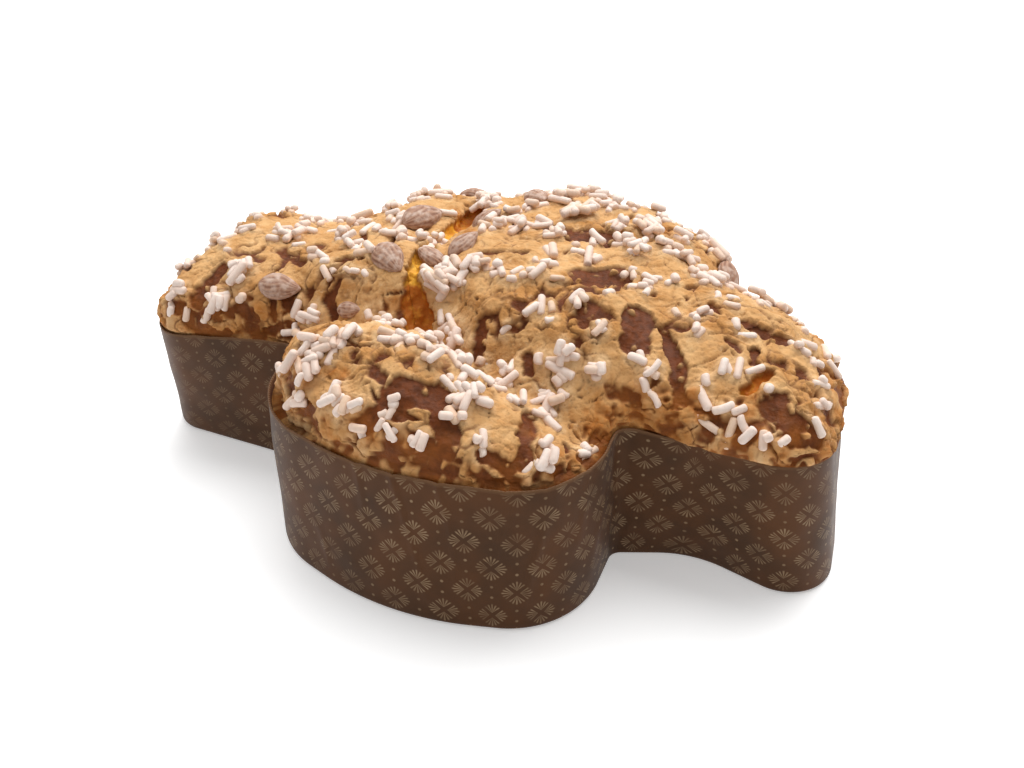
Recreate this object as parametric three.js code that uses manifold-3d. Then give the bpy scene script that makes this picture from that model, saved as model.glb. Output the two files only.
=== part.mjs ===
// Colomba: a dove-shaped Easter loaf, baked and sold in its paper case, uncut.
// The case is one thin-walled tray. The loaf fills it and rises over its rim as five lobes (head, two wings,
// body, tail) under a cracked almond glaze, with rods of pearl sugar baked on and whole almonds set in the crust.
// Millimetres, +Z up, the case standing on z = 0. Seen from above, +X is the tail and -X the head.
import * as THREE from 'three';
import { mergeVertices } from 'three/addons/utils/BufferGeometryUtils.js';
import Module from 'manifold-3d';

const wasm = await Module();
wasm.setup();

// ---------------------------------------------------------------- driving dimensions

const WALL = 62; // height of the paper wall, along its slope
const PAPER = 0.8; // thickness of the wall and floor, with the glued pleats
const GAP = 0.35; // air between two pieces
const FOOT = 2; // radius of the fold between floor and wall
const STEP = 6.5; // length of one facet round the case

// Corners of the case's outline, anticlockwise from the head's near side. Each is rounded by its radius `r`.
// `lean` is how far the rim stands from the floor's outline there, and `spill` how far the crust passes over
// the rim's outer edge: negative where a strip of the wall's inner face shows.
const CORNERS = [
  { name: 'head, near', at: [-142, -31.5], r: 15, lean: [12, -16], spill: -0.6 },
  { name: 'crease, head to near wing', at: [-64, -33], r: 6, lean: [0, -4], spill: -4 },
  { name: 'near wing, head side', at: [-66, -76], r: 36, lean: [0, 1], spill: -5 },
  { name: 'near wing, tip', at: [-3, -96.5], r: 105, lean: [0, 3], spill: -1.6 },
  { name: 'near wing, tail side', at: [60.5, -80], r: 34, lean: [1, 1], spill: -3.5 },
  { name: 'crease, near wing to tail', at: [60.5, -37], r: 5, lean: [0, -3], spill: -1.6 },
  { name: 'waist of the tail, near', at: [88, -26], r: 40, lean: [0, -12], spill: 3 },
  { name: 'tail, near', at: [138.5, -39], r: 18, lean: [-9, -4], spill: 1 },
  { name: 'tail, far', at: [135, 21], r: 32, lean: [-8, 2], spill: 1 },
  { name: 'waist of the tail, far', at: [104, 29], r: 40, lean: [-2, 6], spill: -0.5 },
  { name: 'crease, far wing to tail', at: [80, 42], r: 6, lean: [0, 2], spill: -1.6 },
  { name: 'far wing, tail side', at: [78, 84], r: 34, lean: [0, -1], spill: -1.5 },
  { name: 'far wing, tip', at: [8, 98], r: 110, lean: [0, -2], spill: -1.6 },
  { name: 'far wing, head side', at: [-74, 80], r: 38, lean: [0, -1], spill: -1.6 },
  { name: 'crease, head to far wing', at: [-79, 42], r: 6, lean: [0, 3], spill: 4 },
  { name: 'head, far', at: [-139, 35], r: 26, lean: [7, 6], spill: -0.6 },
];

// The loaf's top: each lobe's crown is `rise` above the rim and fades over `spread`, and the crust rolls up
// from the rim to full height over ROLL.
const ROLL = 34;
const CROWNS = [
  { name: 'body', at: [10, -5], spread: 38, rise: 30 },
  { name: 'head', at: [-106, 2], spread: 26, rise: 21 },
  { name: 'head, far side', at: [-84, 30], spread: 14, rise: 11 },
  { name: 'over the far crease', at: [-66, 32], spread: 12, rise: 28 },
  { name: 'near wing', at: [-22, -60], spread: 24, rise: 23 },
  { name: 'near wing, tail side', at: [40, -74], spread: 18, rise: 9 },
  { name: 'far wing, tail side', at: [36, 58], spread: 28, rise: 27 },
  { name: 'far wing, shoulder', at: [70, 78], spread: 14, rise: 10 },
  { name: 'far wing, head side', at: [-42, 58], spread: 26, rise: 19 },
  { name: 'tail', at: [100, -8], spread: 30, rise: 22 },
  { name: 'tail, far side', at: [104, 17], spread: 15, rise: 25 },
  { name: 'tail, end', at: [132, 12], spread: 16, rise: 8 },
];
const VALLEYS = [
  { name: 'near wing to head', from: [-64, -36], to: [-18, -27], depth: 18, width: 11 },
  { name: 'near wing to body', from: [-18, -27], to: [16, -40], depth: 19, width: 13 },
  { name: 'near wing to tail', from: [16, -40], to: [62, -54], depth: 15, width: 14 },
  { name: 'tear between head and body', from: [-17, -34], to: [-34, 58], depth: 5, width: 5 },
  { name: 'tear across the tail', from: [68, -14], to: [76, -34], depth: 3, width: 4 },
];
const LUMPS = [
  // slow swells of the risen dough: wavelength, direction in degrees, height
  { wave: 47, turn: 25, height: 1.1 },
  { wave: 31, turn: 100, height: 0.9 },
  { wave: 21, turn: 160, height: 0.7 },
  { wave: 15, turn: 65, height: 0.5 },
];
const OBLONG = 1.3; // how much longer the swells are across than along
const FAINT = 1e-6; // least weight of a crown, far from all
const RINGS = [0.8, 3, 8]; // depths in from the rim where the crust has a ring of facets
const GRID = 6.5; // square facets of the crust inside those
const TUCK = 6; // depth over which the spill dies away
const GAPING = 1.6; // a strip wider than this also lets the crust's edge drop below the rim,
const DROP = 1.1; // by this share of the rest of the strip
const LIP = 0.8; // how far the crust's lower edge rises from the wall to its outer side

// Sugar rods: their middles stand `proud` of the crust by a share of their radius, and keep `shy` of the rim.
const ROD = { radius: 1.6, shortest: 6, longest: 11, sides: 6, proud: 0.3, shy: 1.5 };
const STREWN = { count: 130, tries: 6000, spacing: 9.5, seed: 20 };
const ALMOND = { length: 18, width: 11.5, thickness: 8, sunk: 0.35 };
// Whole almonds: where each lies, how it is turned in degrees, and its size beside the usual one.
const ALMONDS = [
  { at: [-77.5, -26], turn: 16, size: 0.9 },
  { at: [-39, -9.5], turn: -36, size: 1 },
  { at: [-26, 0.5], turn: 6, size: 0.84 },
  { at: [-17.5, 10], turn: 56, size: 0.82 },
  { at: [-45, 30], turn: 66, size: 1.1 },
  { at: [-21.5, 42], turn: 42, size: 0.78 },
  { at: [75, 50], turn: -55, size: 1 },
  { at: [-48, -26], turn: 12, size: 0.55 },
  { at: [-8.5, 63.5], turn: -44, size: 0.85 },
  { at: [32, 89], turn: -14, size: 0.95 },
  { at: [-42, 78.5], turn: 24, size: 0.95 },
];

// ---------------------------------------------------------------- outline

// Points round the case at a height, t = 0 at the floor and t = 1 at the rim: a polygon with its corners
// rounded off. Every height has the same number of points, so that rings at two heights join up.
function ring(t) {
  const at = CORNERS.map((c) => new THREE.Vector2(c.at[0] + t * c.lean[0], c.at[1] + t * c.lean[1]));
  const corners = at.map((p, i) => {
    const back = at.at(i - 1).clone().sub(p).normalize();
    const on = at[(i + 1) % at.length].clone().sub(p).normalize();
    const half = Math.acos(back.dot(on)) / 2;
    const r = CORNERS[i].r;
    const enter = p.clone().addScaledVector(back, r / Math.tan(half));
    const leave = p.clone().addScaledVector(on, r / Math.tan(half));
    const centre = p.clone().addScaledVector(back.clone().add(on).normalize(), r / Math.sin(half));
    return { r, enter, leave, centre };
  });
  const points = [];
  corners.forEach(({ r, enter, leave, centre }, i) => {
    const start = enter.clone().sub(centre).angle();
    let sweep = leave.clone().sub(centre).angle() - start;
    sweep -= 2 * Math.PI * Math.round(sweep / (2 * Math.PI));
    const { arcs, straights } = FACETS[i] ?? countFacets(i, r * Math.abs(sweep), leave, corners);
    for (let k = 0; k <= arcs; k++) {
      const a = start + (sweep * k) / arcs;
      points.push({
        x: centre.x + r * Math.cos(a),
        y: centre.y + r * Math.sin(a),
        spill: CORNERS[i].spill,
      });
    }
    const next = corners[(i + 1) % corners.length].enter;
    for (let k = 1; k < straights; k++) {
      const s = k / straights;
      points.push({
        x: leave.x + s * (next.x - leave.x),
        y: leave.y + s * (next.y - leave.y),
        spill: THREE.MathUtils.lerp(CORNERS[i].spill, CORNERS[(i + 1) % CORNERS.length].spill, s),
      });
    }
  });
  return points;
}

// Facets for one corner's arc and the straight after it, counted once, on the floor's outline.
const FACETS = [];
function countFacets(i, arcLength, leave, corners) {
  const straight = leave.distanceTo(corners[(i + 1) % corners.length].enter);
  FACETS[i] = {
    arcs: Math.max(2, Math.ceil(arcLength / STEP)),
    straights: Math.max(1, Math.round(straight / STEP)),
  };
  return FACETS[i];
}

const FLOOR_LINE = ring(0);
const RIM_LINE = ring(1);
const COUNT = RIM_LINE.length;

// The way in, square to the outline, at each point.
function inward(line) {
  return line.map((_, i) => {
    const before = line.at(i - 1);
    const after = line[(i + 1) % line.length];
    return new THREE.Vector2(before.y - after.y, after.x - before.x).normalize();
  });
}
const FLOOR_IN = inward(FLOOR_LINE);
const RIM_IN = inward(RIM_LINE);

// Height of the rim at each point: the wall is as long everywhere, so it is lower where it leans.
const RIM_HEIGHT = RIM_LINE.map((p, i) =>
  Math.sqrt(WALL ** 2 - (p.x - FLOOR_LINE[i].x) ** 2 - (p.y - FLOOR_LINE[i].y) ** 2),
);

// A ring on the wall at share t of its height, moved in by `inset` and up by `lift`.
function wallRing(t, inset, lift = 0) {
  return RIM_LINE.map((p, i) => [
    THREE.MathUtils.lerp(FLOOR_LINE[i].x + inset * FLOOR_IN[i].x, p.x + inset * RIM_IN[i].x, t),
    THREE.MathUtils.lerp(FLOOR_LINE[i].y + inset * FLOOR_IN[i].y, p.y + inset * RIM_IN[i].y, t),
    t * RIM_HEIGHT[i] + lift,
  ]);
}

// ---------------------------------------------------------------- solids

// An open shell from rings of the same number of points, closed by a fan at the first. Going down, each facet
// is split the other way, so that a wall's two faces and what fits in it match.
function loft(rings, hub) {
  const shell = { vertices: [hub, ...rings.flat()], index: [] };
  for (let i = 0; i < COUNT; i++) {
    const j = (i + 1) % COUNT;
    shell.index.push(0, 1 + j, 1 + i);
    for (let k = 0; k + 1 < rings.length; k++) {
      const near = 1 + k * COUNT;
      const far = near + COUNT;
      if (rings[k + 1][i][2] < rings[k][i][2]) {
        shell.index.push(near + i, near + j, far + i, near + j, far + j, far + i);
      } else {
        shell.index.push(near + i, near + j, far + j, near + i, far + j, far + i);
      }
    }
  }
  return shell;
}

function lastRing({ vertices }) {
  return Array.from({ length: COUNT }, (_, i) => vertices.length - COUNT + i);
}

// Closes a shell's last ring with a fan.
function closeWithHub(shell, hub) {
  const ringed = lastRing(shell);
  const centre = shell.vertices.push(hub) - 1;
  ringed.forEach((v, i) => shell.index.push(centre, v, ringed[(i + 1) % COUNT]));
  return toMesh(shell);
}

// Closes a shell's last ring with a patch of square facets, stitched to it by triangles. `inside` says which
// points of the plan the patch may cover, and `height` gives the surface.
function closeWithPatch(shell, inside, height) {
  const ringed = lastRing(shell);
  const edges = new Map();
  const places = new Map();
  const vertexAt = (i, j) => {
    const key = `${i},${j}`;
    if (!places.has(key)) places.set(key, shell.vertices.push([i * GRID, j * GRID, height(i * GRID, j * GRID)]) - 1);
    return places.get(key);
  };
  const reach = Math.ceil(Math.max(...RIM_LINE.map(({ x, y }) => Math.hypot(x, y))) / GRID);
  for (let i = -reach; i < reach; i++) {
    for (let j = -reach; j < reach; j++) {
      const corners = [[i, j], [i + 1, j], [i + 1, j + 1], [i, j + 1]]; // prettier-ignore
      if (!corners.every(([a, b]) => inside(a * GRID, b * GRID))) continue;
      const [a, b, c, d] = corners.map(([u, v]) => vertexAt(u, v));
      shell.index.push(a, b, c, a, c, d);
      for (const [from, to] of [[a, b], [b, c], [c, d], [d, a]]) { // prettier-ignore
        if (!edges.delete(`${to},${from}`)) edges.set(`${from},${to}`, [from, to]);
      }
    }
  }
  const next = new Map(edges.values());
  const border = [next.keys().next().value];
  while (next.get(border.at(-1)) !== border[0]) border.push(next.get(border.at(-1)));
  stitch(shell, ringed, border);
  return toMesh(shell);
}

// Joins an outer loop of vertices to an inner one, always by the shorter of the two possible edges.
function stitch({ vertices, index }, outer, inner) {
  const gap = (a, b) => Math.hypot(vertices[a][0] - vertices[b][0], vertices[a][1] - vertices[b][1]);
  const start = inner.reduce((best, v, k) => (gap(outer[0], v) < gap(outer[0], inner[best]) ? k : best), 0);
  let [a, b] = [0, 0];
  while (a < outer.length || b < inner.length) {
    const [u, uNext] = [outer[a % outer.length], outer[(a + 1) % outer.length]];
    const [v, vNext] = [inner[(start + b) % inner.length], inner[(start + b + 1) % inner.length]];
    if (b >= inner.length || (a < outer.length && gap(uNext, v) < gap(u, vNext))) {
      index.push(u, uNext, v);
      a++;
    } else {
      index.push(u, vNext, v);
      b++;
    }
  }
}

function toMesh({ vertices, index }) {
  const geometry = new THREE.BufferGeometry();
  geometry.setAttribute('position', new THREE.Float32BufferAttribute(vertices.flat(), 3));
  geometry.setIndex(index);
  return geometry;
}

function toSolid(geometry) {
  const bare = geometry.clone();
  bare.deleteAttribute('normal');
  bare.deleteAttribute('uv');
  const merged = mergeVertices(bare, 1e-4);
  return new wasm.Manifold(
    new wasm.Mesh({
      numProp: 3,
      vertProperties: new Float32Array(merged.attributes.position.array),
      triVerts: new Uint32Array(merged.index.array),
    }),
  );
}

function toGeometry(solid) {
  const { vertProperties, triVerts } = solid.getMesh();
  const geometry = new THREE.BufferGeometry();
  geometry.setAttribute('position', new THREE.BufferAttribute(vertProperties, 3));
  geometry.setIndex(new THREE.BufferAttribute(triVerts, 1));
  return geometry;
}

// ---------------------------------------------------------------- top of the loaf

function distanceToSegment([px, py], [ax, ay], [bx, by]) {
  const [dx, dy] = [bx - ax, by - ay];
  const s = THREE.MathUtils.clamp(((px - ax) * dx + (py - ay) * dy) / (dx * dx + dy * dy), 0, 1);
  return Math.hypot(px - ax - s * dx, py - ay - s * dy);
}

// Distance in from the rim's outline, and the rim's height and the crust's spill at the nearest point of it.
function fromRim(x, y) {
  const nearest = { distance: Infinity };
  for (let i = 0; i < COUNT; i++) {
    const a = RIM_LINE[i];
    const b = RIM_LINE[(i + 1) % COUNT];
    const distance = distanceToSegment([x, y], [a.x, a.y], [b.x, b.y]);
    if (distance < nearest.distance) Object.assign(nearest, { distance, height: RIM_HEIGHT[i], spill: a.spill });
  }
  return nearest;
}

// How far in along the roll a point of the plan lies: its distance from the rim is that, less the spill, which
// dies away over TUCK. Found by Newton's steps.
function rolledIn(x, y) {
  const { distance, spill } = fromRim(x, y);
  let depth = distance;
  for (let k = 0; k < 6; k++) {
    const fade = spill * Math.exp(-depth / TUCK);
    depth = Math.max(0, depth - (depth - fade - distance) / (1 + fade / TUCK));
  }
  return depth;
}

const dropAt = (spill) => DROP * Math.max(0, -spill - GAPING);

// Height of the crust over a point of the plan: the blend of the lobes' crowns, rolled down to the rim, less
// the valleys and tears, and swelling gently. `rolled` is how far in along the roll the point lies.
function crustHeight(x, y, rolled = rolledIn(x, y)) {
  const { height, spill } = fromRim(x, y);
  let weight = 0;
  let rise = 0;
  for (const { at, spread, rise: crown } of CROWNS) {
    const w = Math.exp(-((x - at[0]) ** 2 + (y - at[1]) ** 2) / (2 * spread ** 2)) + FAINT;
    weight += w;
    rise += w * crown;
  }
  const roll = Math.min(rolled / ROLL, 1);
  const cuts = VALLEYS.map(
    ({ from, to, depth: deep, width }) => deep * Math.exp(-((distanceToSegment([x, y], from, to) / width) ** 2)),
  );
  const swell = LUMPS.reduce((sum, { wave, turn, height: lump }) => {
    const a = THREE.MathUtils.degToRad(turn);
    const along = (x * Math.cos(a) + y * Math.sin(a)) * ((2 * Math.PI) / wave);
    const across = (y * Math.cos(a) - x * Math.sin(a)) * ((2 * Math.PI) / (OBLONG * wave));
    return sum + lump * Math.sin(along) * Math.cos(across);
  }, 0);
  const up = Math.sqrt(1 - (1 - roll) ** 2);
  const edge = height - dropAt(spill) * Math.exp(-rolled / TUCK);
  return edge + (rise / weight - Math.max(...cuts)) * up + swell * roll;
}

function crustNormal(x, y) {
  const e = 2;
  const slopeX = (crustHeight(x + e, y) - crustHeight(x - e, y)) / (2 * e);
  const slopeY = (crustHeight(x, y + e) - crustHeight(x, y - e)) / (2 * e);
  return new THREE.Vector3(-slopeX, -slopeY, 1).normalize();
}

// ---------------------------------------------------------------- pieces

function paperCase() {
  const rings = [
    wallRing(0, FOOT),
    wallRing(FOOT / WALL, 0),
    wallRing(1, 0),
    wallRing(1, PAPER),
    wallRing((FOOT + PAPER) / WALL, PAPER),
    wallRing(0, FOOT + PAPER, PAPER),
  ];
  return closeWithHub(loft(rings, [0, 0, 0]), [0, 0, PAPER]);
}

// The loaf without its toppings: flat base, sides inside the wall, a lip over the rim, and the crust.
function bareLoaf() {
  const inset = PAPER + GAP;
  const low = FOOT + inset;
  const rings = [wallRing(0, low, inset), wallRing(low / WALL, inset)];
  rings.push(wallRing(1, inset, GAP).map(([x, y, z], i) => [x, y, z - dropAt(RIM_LINE[i].spill)]));
  const moved = (i, out) => [RIM_LINE[i].x - out * RIM_IN[i].x, RIM_LINE[i].y - out * RIM_IN[i].y];
  rings.push(
    RIM_LINE.map(({ spill }, i) => {
      const lip = spill > -inset ? LIP : 2 * LIP;
      return [...moved(i, spill), RIM_HEIGHT[i] + GAP + lip - dropAt(spill)];
    }),
  );
  for (const depth of RINGS) {
    rings.push(
      RIM_LINE.map(({ spill }, i) => {
        const [x, y] = moved(i, spill * Math.exp(-depth / TUCK) - depth);
        return [x, y, crustHeight(x, y, depth)];
      }),
    );
  }
  const clear = RINGS.at(-1) + 0.5 * GRID;
  const shell = loft(rings, [0, 0, inset]);
  const within = (x, y) => insideRim(x, y) && rolledIn(x, y) > clear;
  return toSolid(closeWithPatch(shell, within, (x, y) => crustHeight(x, y)));
}

// An almond lying along X: a pointed oval, blunt at one end, grown by `extra` all round.
function almondShape(extra = 0) {
  const { length, width, thickness } = ALMOND;
  const stations = [0, 0.12, 0.32, 0.58, 0.84, 1];
  const outline = stations.map((s) => {
    const radius = Math.sin(Math.PI * s ** 0.8) ** 0.75;
    return new THREE.Vector2(radius < 1e-3 ? 0 : radius * 0.5, s - 0.5);
  });
  return new THREE.LatheGeometry(outline, 8)
    .rotateZ(-Math.PI / 2)
    .scale(length + 2 * extra, width + 2 * extra, thickness + 2 * extra);
}

function almondPlace({ at: [x, y], turn, size }) {
  const place = new THREE.Object3D();
  const up = crustNormal(x, y);
  const spin = new THREE.Quaternion().setFromAxisAngle(new THREE.Vector3(0, 0, 1), THREE.MathUtils.degToRad(turn));
  place.quaternion.setFromUnitVectors(new THREE.Vector3(0, 0, 1), up).multiply(spin);
  place.position.set(x, y, crustHeight(x, y)).addScaledVector(up, ALMOND.thickness * size * (0.5 - ALMOND.sunk));
  place.scale.setScalar(size);
  place.updateMatrix();
  return place;
}

function sugarRod(length) {
  const { radius, sides } = ROD;
  const half = length / 2;
  const bevel = 0.4 * radius;
  const outline = [
    [0, -half],
    [radius, bevel - half],
    [radius, half - bevel],
    [0, half],
  ].map(([r, along]) => new THREE.Vector2(r, along));
  return new THREE.LatheGeometry(outline, sides).rotateZ(-Math.PI / 2);
}

// Repeatable random numbers from 0 to 1.
function randomFrom(seed) {
  let state = seed;
  return () => {
    state = (state * 16807) % 2147483647;
    return state / 2147483647;
  };
}

// Places for the rods: drawn at random over the crust, and kept where clear of the rim, the almonds and each
// other. The longest come first.
function rodPlaces() {
  const random = randomFrom(STREWN.seed);
  const wide = Math.max(...RIM_LINE.map(({ x }) => Math.abs(x)));
  const deep = Math.max(...RIM_LINE.map(({ y }) => Math.abs(y)));
  const places = [];
  for (let tries = 0; tries < STREWN.tries && places.length < STREWN.count; tries++) {
    const x = THREE.MathUtils.lerp(-wide, wide, random());
    const y = THREE.MathUtils.lerp(-deep, deep, random());
    const turn = Math.PI * random();
    const length = THREE.MathUtils.lerp(ROD.longest, ROD.shortest, places.length / STREWN.count);
    if (!insideRim(x, y) || rolledIn(x, y) < 0.5 * length + ROD.shy) continue;
    if (ALMONDS.some(({ at }) => Math.hypot(x - at[0], y - at[1]) < 0.5 * (length + ALMOND.length) + 1)) continue;
    if (places.some((p) => Math.hypot(x - p.x, y - p.y) < STREWN.spacing)) continue;
    places.push({ x, y, turn, length });
  }
  return places;
}

function insideRim(x, y) {
  let inside = false;
  for (let i = 0; i < COUNT; i++) {
    const a = RIM_LINE[i];
    const b = RIM_LINE.at(i - 1);
    if (a.y > y !== b.y > y && x < a.x + ((y - a.y) / (b.y - a.y)) * (b.x - a.x)) inside = !inside;
  }
  return inside;
}

// The loaf with a pocket for each almond and the sugar rods joined to its crust.
function cake() {
  let solid = bareLoaf();
  for (const almond of ALMONDS) {
    const pocket = almondShape(GAP / almond.size).applyMatrix4(almondPlace(almond).matrix);
    solid = solid.subtract(toSolid(pocket));
  }
  for (const { x, y, turn, length } of rodPlaces()) {
    const up = crustNormal(x, y);
    const lie = new THREE.Quaternion()
      .setFromUnitVectors(new THREE.Vector3(0, 0, 1), up)
      .multiply(new THREE.Quaternion().setFromAxisAngle(new THREE.Vector3(0, 0, 1), turn));
    const middle = new THREE.Vector3(x, y, crustHeight(x, y)).addScaledVector(up, ROD.proud * ROD.radius);
    const rod = sugarRod(length).applyMatrix4(new THREE.Matrix4().compose(middle, lie, new THREE.Vector3(1, 1, 1)));
    solid = solid.add(toSolid(rod));
  }
  const bodies = solid.decompose().sort((a, b) => b.volume() - a.volume());
  return toGeometry(bodies[0]);
}

// ---------------------------------------------------------------- assembly

const part = new THREE.Group();

function place(name, geometry, material) {
  const mesh = new THREE.Mesh(geometry, material);
  mesh.name = name;
  part.add(mesh);
  return mesh;
}

const brownPaper = new THREE.MeshStandardMaterial({ color: 0x4b3a2e, roughness: 0.55, metalness: 0 });
const crust = new THREE.MeshStandardMaterial({ color: 0xc49a62, roughness: 0.8, metalness: 0 });
const almondSkin = new THREE.MeshStandardMaterial({ color: 0xa5826e, roughness: 0.7, metalness: 0 });

place('paper_case', paperCase(), brownPaper);
place('cake', cake(), crust);
ALMONDS.forEach((almond, i) => {
  const { position, quaternion, scale } = almondPlace(almond);
  const mesh = place(`almond_${String(i + 1).padStart(2, '0')}`, almondShape(), almondSkin);
  mesh.position.copy(position);
  mesh.quaternion.copy(quaternion);
  mesh.scale.copy(scale);
});

// The part's origin is under the middle of its outline.
const middle = new THREE.Box3().setFromObject(part, true).getCenter(new THREE.Vector3());
part.position.set(-middle.x, -middle.y, 0);

export default part;
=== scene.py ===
# Colomba: a dove-shaped Easter loaf in its paper case, uncut, under a cracked almond glaze with pearl
# sugar rods and whole almonds. Lengths are millimetres in the loaf's own plan until a mesh is made from
# them.
import math
from itertools import product

import bpy
import numpy as np
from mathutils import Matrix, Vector


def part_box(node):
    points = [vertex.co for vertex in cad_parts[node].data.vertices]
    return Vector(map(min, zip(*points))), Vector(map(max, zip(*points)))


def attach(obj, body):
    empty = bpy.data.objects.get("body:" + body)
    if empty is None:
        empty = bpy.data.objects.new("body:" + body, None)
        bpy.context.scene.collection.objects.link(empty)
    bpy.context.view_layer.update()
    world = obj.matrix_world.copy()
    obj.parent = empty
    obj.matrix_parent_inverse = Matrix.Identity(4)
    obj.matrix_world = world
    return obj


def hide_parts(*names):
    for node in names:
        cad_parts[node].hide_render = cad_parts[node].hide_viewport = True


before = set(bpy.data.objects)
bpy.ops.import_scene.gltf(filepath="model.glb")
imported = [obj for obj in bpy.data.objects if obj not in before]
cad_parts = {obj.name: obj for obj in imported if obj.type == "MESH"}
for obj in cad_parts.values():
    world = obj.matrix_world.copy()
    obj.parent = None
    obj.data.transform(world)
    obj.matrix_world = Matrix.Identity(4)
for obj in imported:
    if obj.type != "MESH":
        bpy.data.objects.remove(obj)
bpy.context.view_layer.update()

# ---------------------------------------------------------------- camera
# The loaf is seen from above its near side, a little from the tail's end, through a short lens.

TARGET = np.array([-12.3, 48.3, 0.0])
DISTANCE = 477.3
AZIMUTH = math.radians(22)
ELEVATION = math.radians(35.5)
FOCAL_PIXELS = 1050
WIDE, HIGH = 1024, 768
SENSOR = 36
METRE = 0.001

SIGHT = np.array(
    [
        -math.sin(AZIMUTH) * math.cos(ELEVATION),
        math.cos(AZIMUTH) * math.cos(ELEVATION),
        -math.sin(ELEVATION),
    ]
)
RIGHT = np.array([math.cos(AZIMUTH), math.sin(AZIMUTH), 0])
UP = np.cross(RIGHT, SIGHT)
EYE = TARGET - DISTANCE * SIGHT

camera = bpy.data.objects.new("camera", bpy.data.cameras.new("camera"))
camera.data.sensor_fit = "HORIZONTAL"
camera.data.sensor_width = SENSOR
camera.data.lens = FOCAL_PIXELS / WIDE * SENSOR
camera.data.clip_start = 0.01
camera.location = EYE * METRE
camera.rotation_euler = Vector(SIGHT).to_track_quat("-Z", "Y").to_euler()
bpy.context.collection.objects.link(camera)
bpy.context.scene.camera = camera

# ---------------------------------------------------------------- table and light
# A white sweep, lit by a wide soft box behind the loaf, a faint one at its left and a white room all
# round. The sweep also glows a little: painted light that lightens the shadows on it.

ROOM_LIGHT = 0.42
FLOOR_SIDE = 24.0
FLOOR_WHITE = (0.93, 0.93, 0.93, 1)
FLOOR_GLOW = 0.33  # the sweep glows: painted light that lightens the shadows on it and lights the loaf from below
FLOOR_ROUGHNESS = 0.9
FLOOR_SHINE = 0.2
WHITE = (1, 1, 1, 1)
SOFT_BOXES = [  # place, size, watts
    ((0.0, 0.7, 1.35), 1.6, 35.0),
    ((-0.9, -0.3, 1.2), 1.2, 2.5),
]

bpy.context.scene.view_settings.view_transform = "Standard"
room = bpy.data.worlds.new("room")
room.use_nodes = True
room_light = room.node_tree.nodes["Background"]
room_light.inputs["Color"].default_value = WHITE
room_light.inputs["Strength"].default_value = ROOM_LIGHT
bpy.context.scene.world = room

for place, size, watts in SOFT_BOXES:
    lamp = bpy.data.objects.new("soft_box", bpy.data.lights.new("soft_box", "AREA"))
    lamp.data.size = size
    lamp.data.energy = watts
    lamp.location = place
    lamp.rotation_euler = (-Vector(place)).to_track_quat("-Z", "Y").to_euler()
    bpy.context.collection.objects.link(lamp)

bpy.ops.mesh.primitive_plane_add(size=FLOOR_SIDE)
floor = bpy.context.object
floor.name = "floor"
floor.data.materials.append(bpy.data.materials.new("white_sweep"))
floor.data.materials[0].use_nodes = True
sweep = floor.data.materials[0].node_tree.nodes["Principled BSDF"]
sweep.inputs["Base Color"].default_value = FLOOR_WHITE
# Painted light: the floor glows, which lightens the shadows cast on it.
sweep.inputs["Emission Color"].default_value = WHITE
sweep.inputs["Emission Strength"].default_value = FLOOR_GLOW
sweep.inputs["Roughness"].default_value = FLOOR_ROUGHNESS
sweep.inputs["Specular IOR Level"].default_value = FLOOR_SHINE

# ---------------------------------------------------------------- paper case
# One tray of dark brown baking paper: a floor, a wall folded up from it and crimped round the lobes, and
# a torn rim. Its outside is printed with a half-drop lattice of ray bursts and dots; the inside is bare
# ribbed paper.

WALL = 62  # along the slope
PAPER = 0.8  # the wall is this thick, with its pleats
GAP = 0.35  # air between the loaf and the case
FOOT = 2  # radius of the fold from floor to wall
# Corners of the floor's outline, anticlockwise from the head's near side: x, y, radius of its rounding,
# how far the rim leans out in x and y, and how far the crust passes over the rim.
CORNERS = np.array(
    [
        (-142, -31.5, 15, 12, -16, -0.6),
        (-64, -33, 6, 0, -4, -4),
        (-66, -76, 36, 0, 1, -5),
        (-3, -96.5, 105, 0, 3, -1.6),
        (60.5, -80, 34, 1, 1, -3.5),
        (60.5, -37, 5, 0, -3, -1.6),
        (88, -26, 40, 0, -12, 3),
        (138.5, -39, 18, -9, -4, 1),
        (135, 21, 32, -8, 2, 1),
        (104, 29, 40, -2, 6, -0.5),
        (80, 42, 6, 0, 2, -1.6),
        (78, 84, 34, 0, -1, -1.5),
        (8, 98, 110, 0, -2, -1.6),
        (-74, 80, 38, 0, -1, -1.6),
        (-79, 42, 6, 0, 3, 4),
        (-139, 35, 26, 7, 6, -0.6),
    ]
)


def unit(v):
    """Each row divided by its length."""
    return v / np.linalg.norm(v, axis=-1, keepdims=True)


def rounded(at, radii):
    """Where each corner's arc starts and ends, its centre, its first angle and its sweep: the arc of that
    radius that touches both sides of the polygon."""
    back = unit(np.roll(at, 1, 0) - at)
    on = unit(np.roll(at, -1, 0) - at)
    half = np.arccos((back * on).sum(1)) / 2
    reach = (radii / np.tan(half))[:, None]
    enter = at + reach * back
    leave = at + reach * on
    centre = at + unit(back + on) * (radii / np.sin(half))[:, None]
    start = np.arctan2(*(enter - centre).T[::-1])
    sweep = np.arctan2(*(leave - centre).T[::-1]) - start
    sweep -= 2 * np.pi * np.round(sweep / (2 * np.pi))
    return enter, leave, centre, start, sweep


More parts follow.
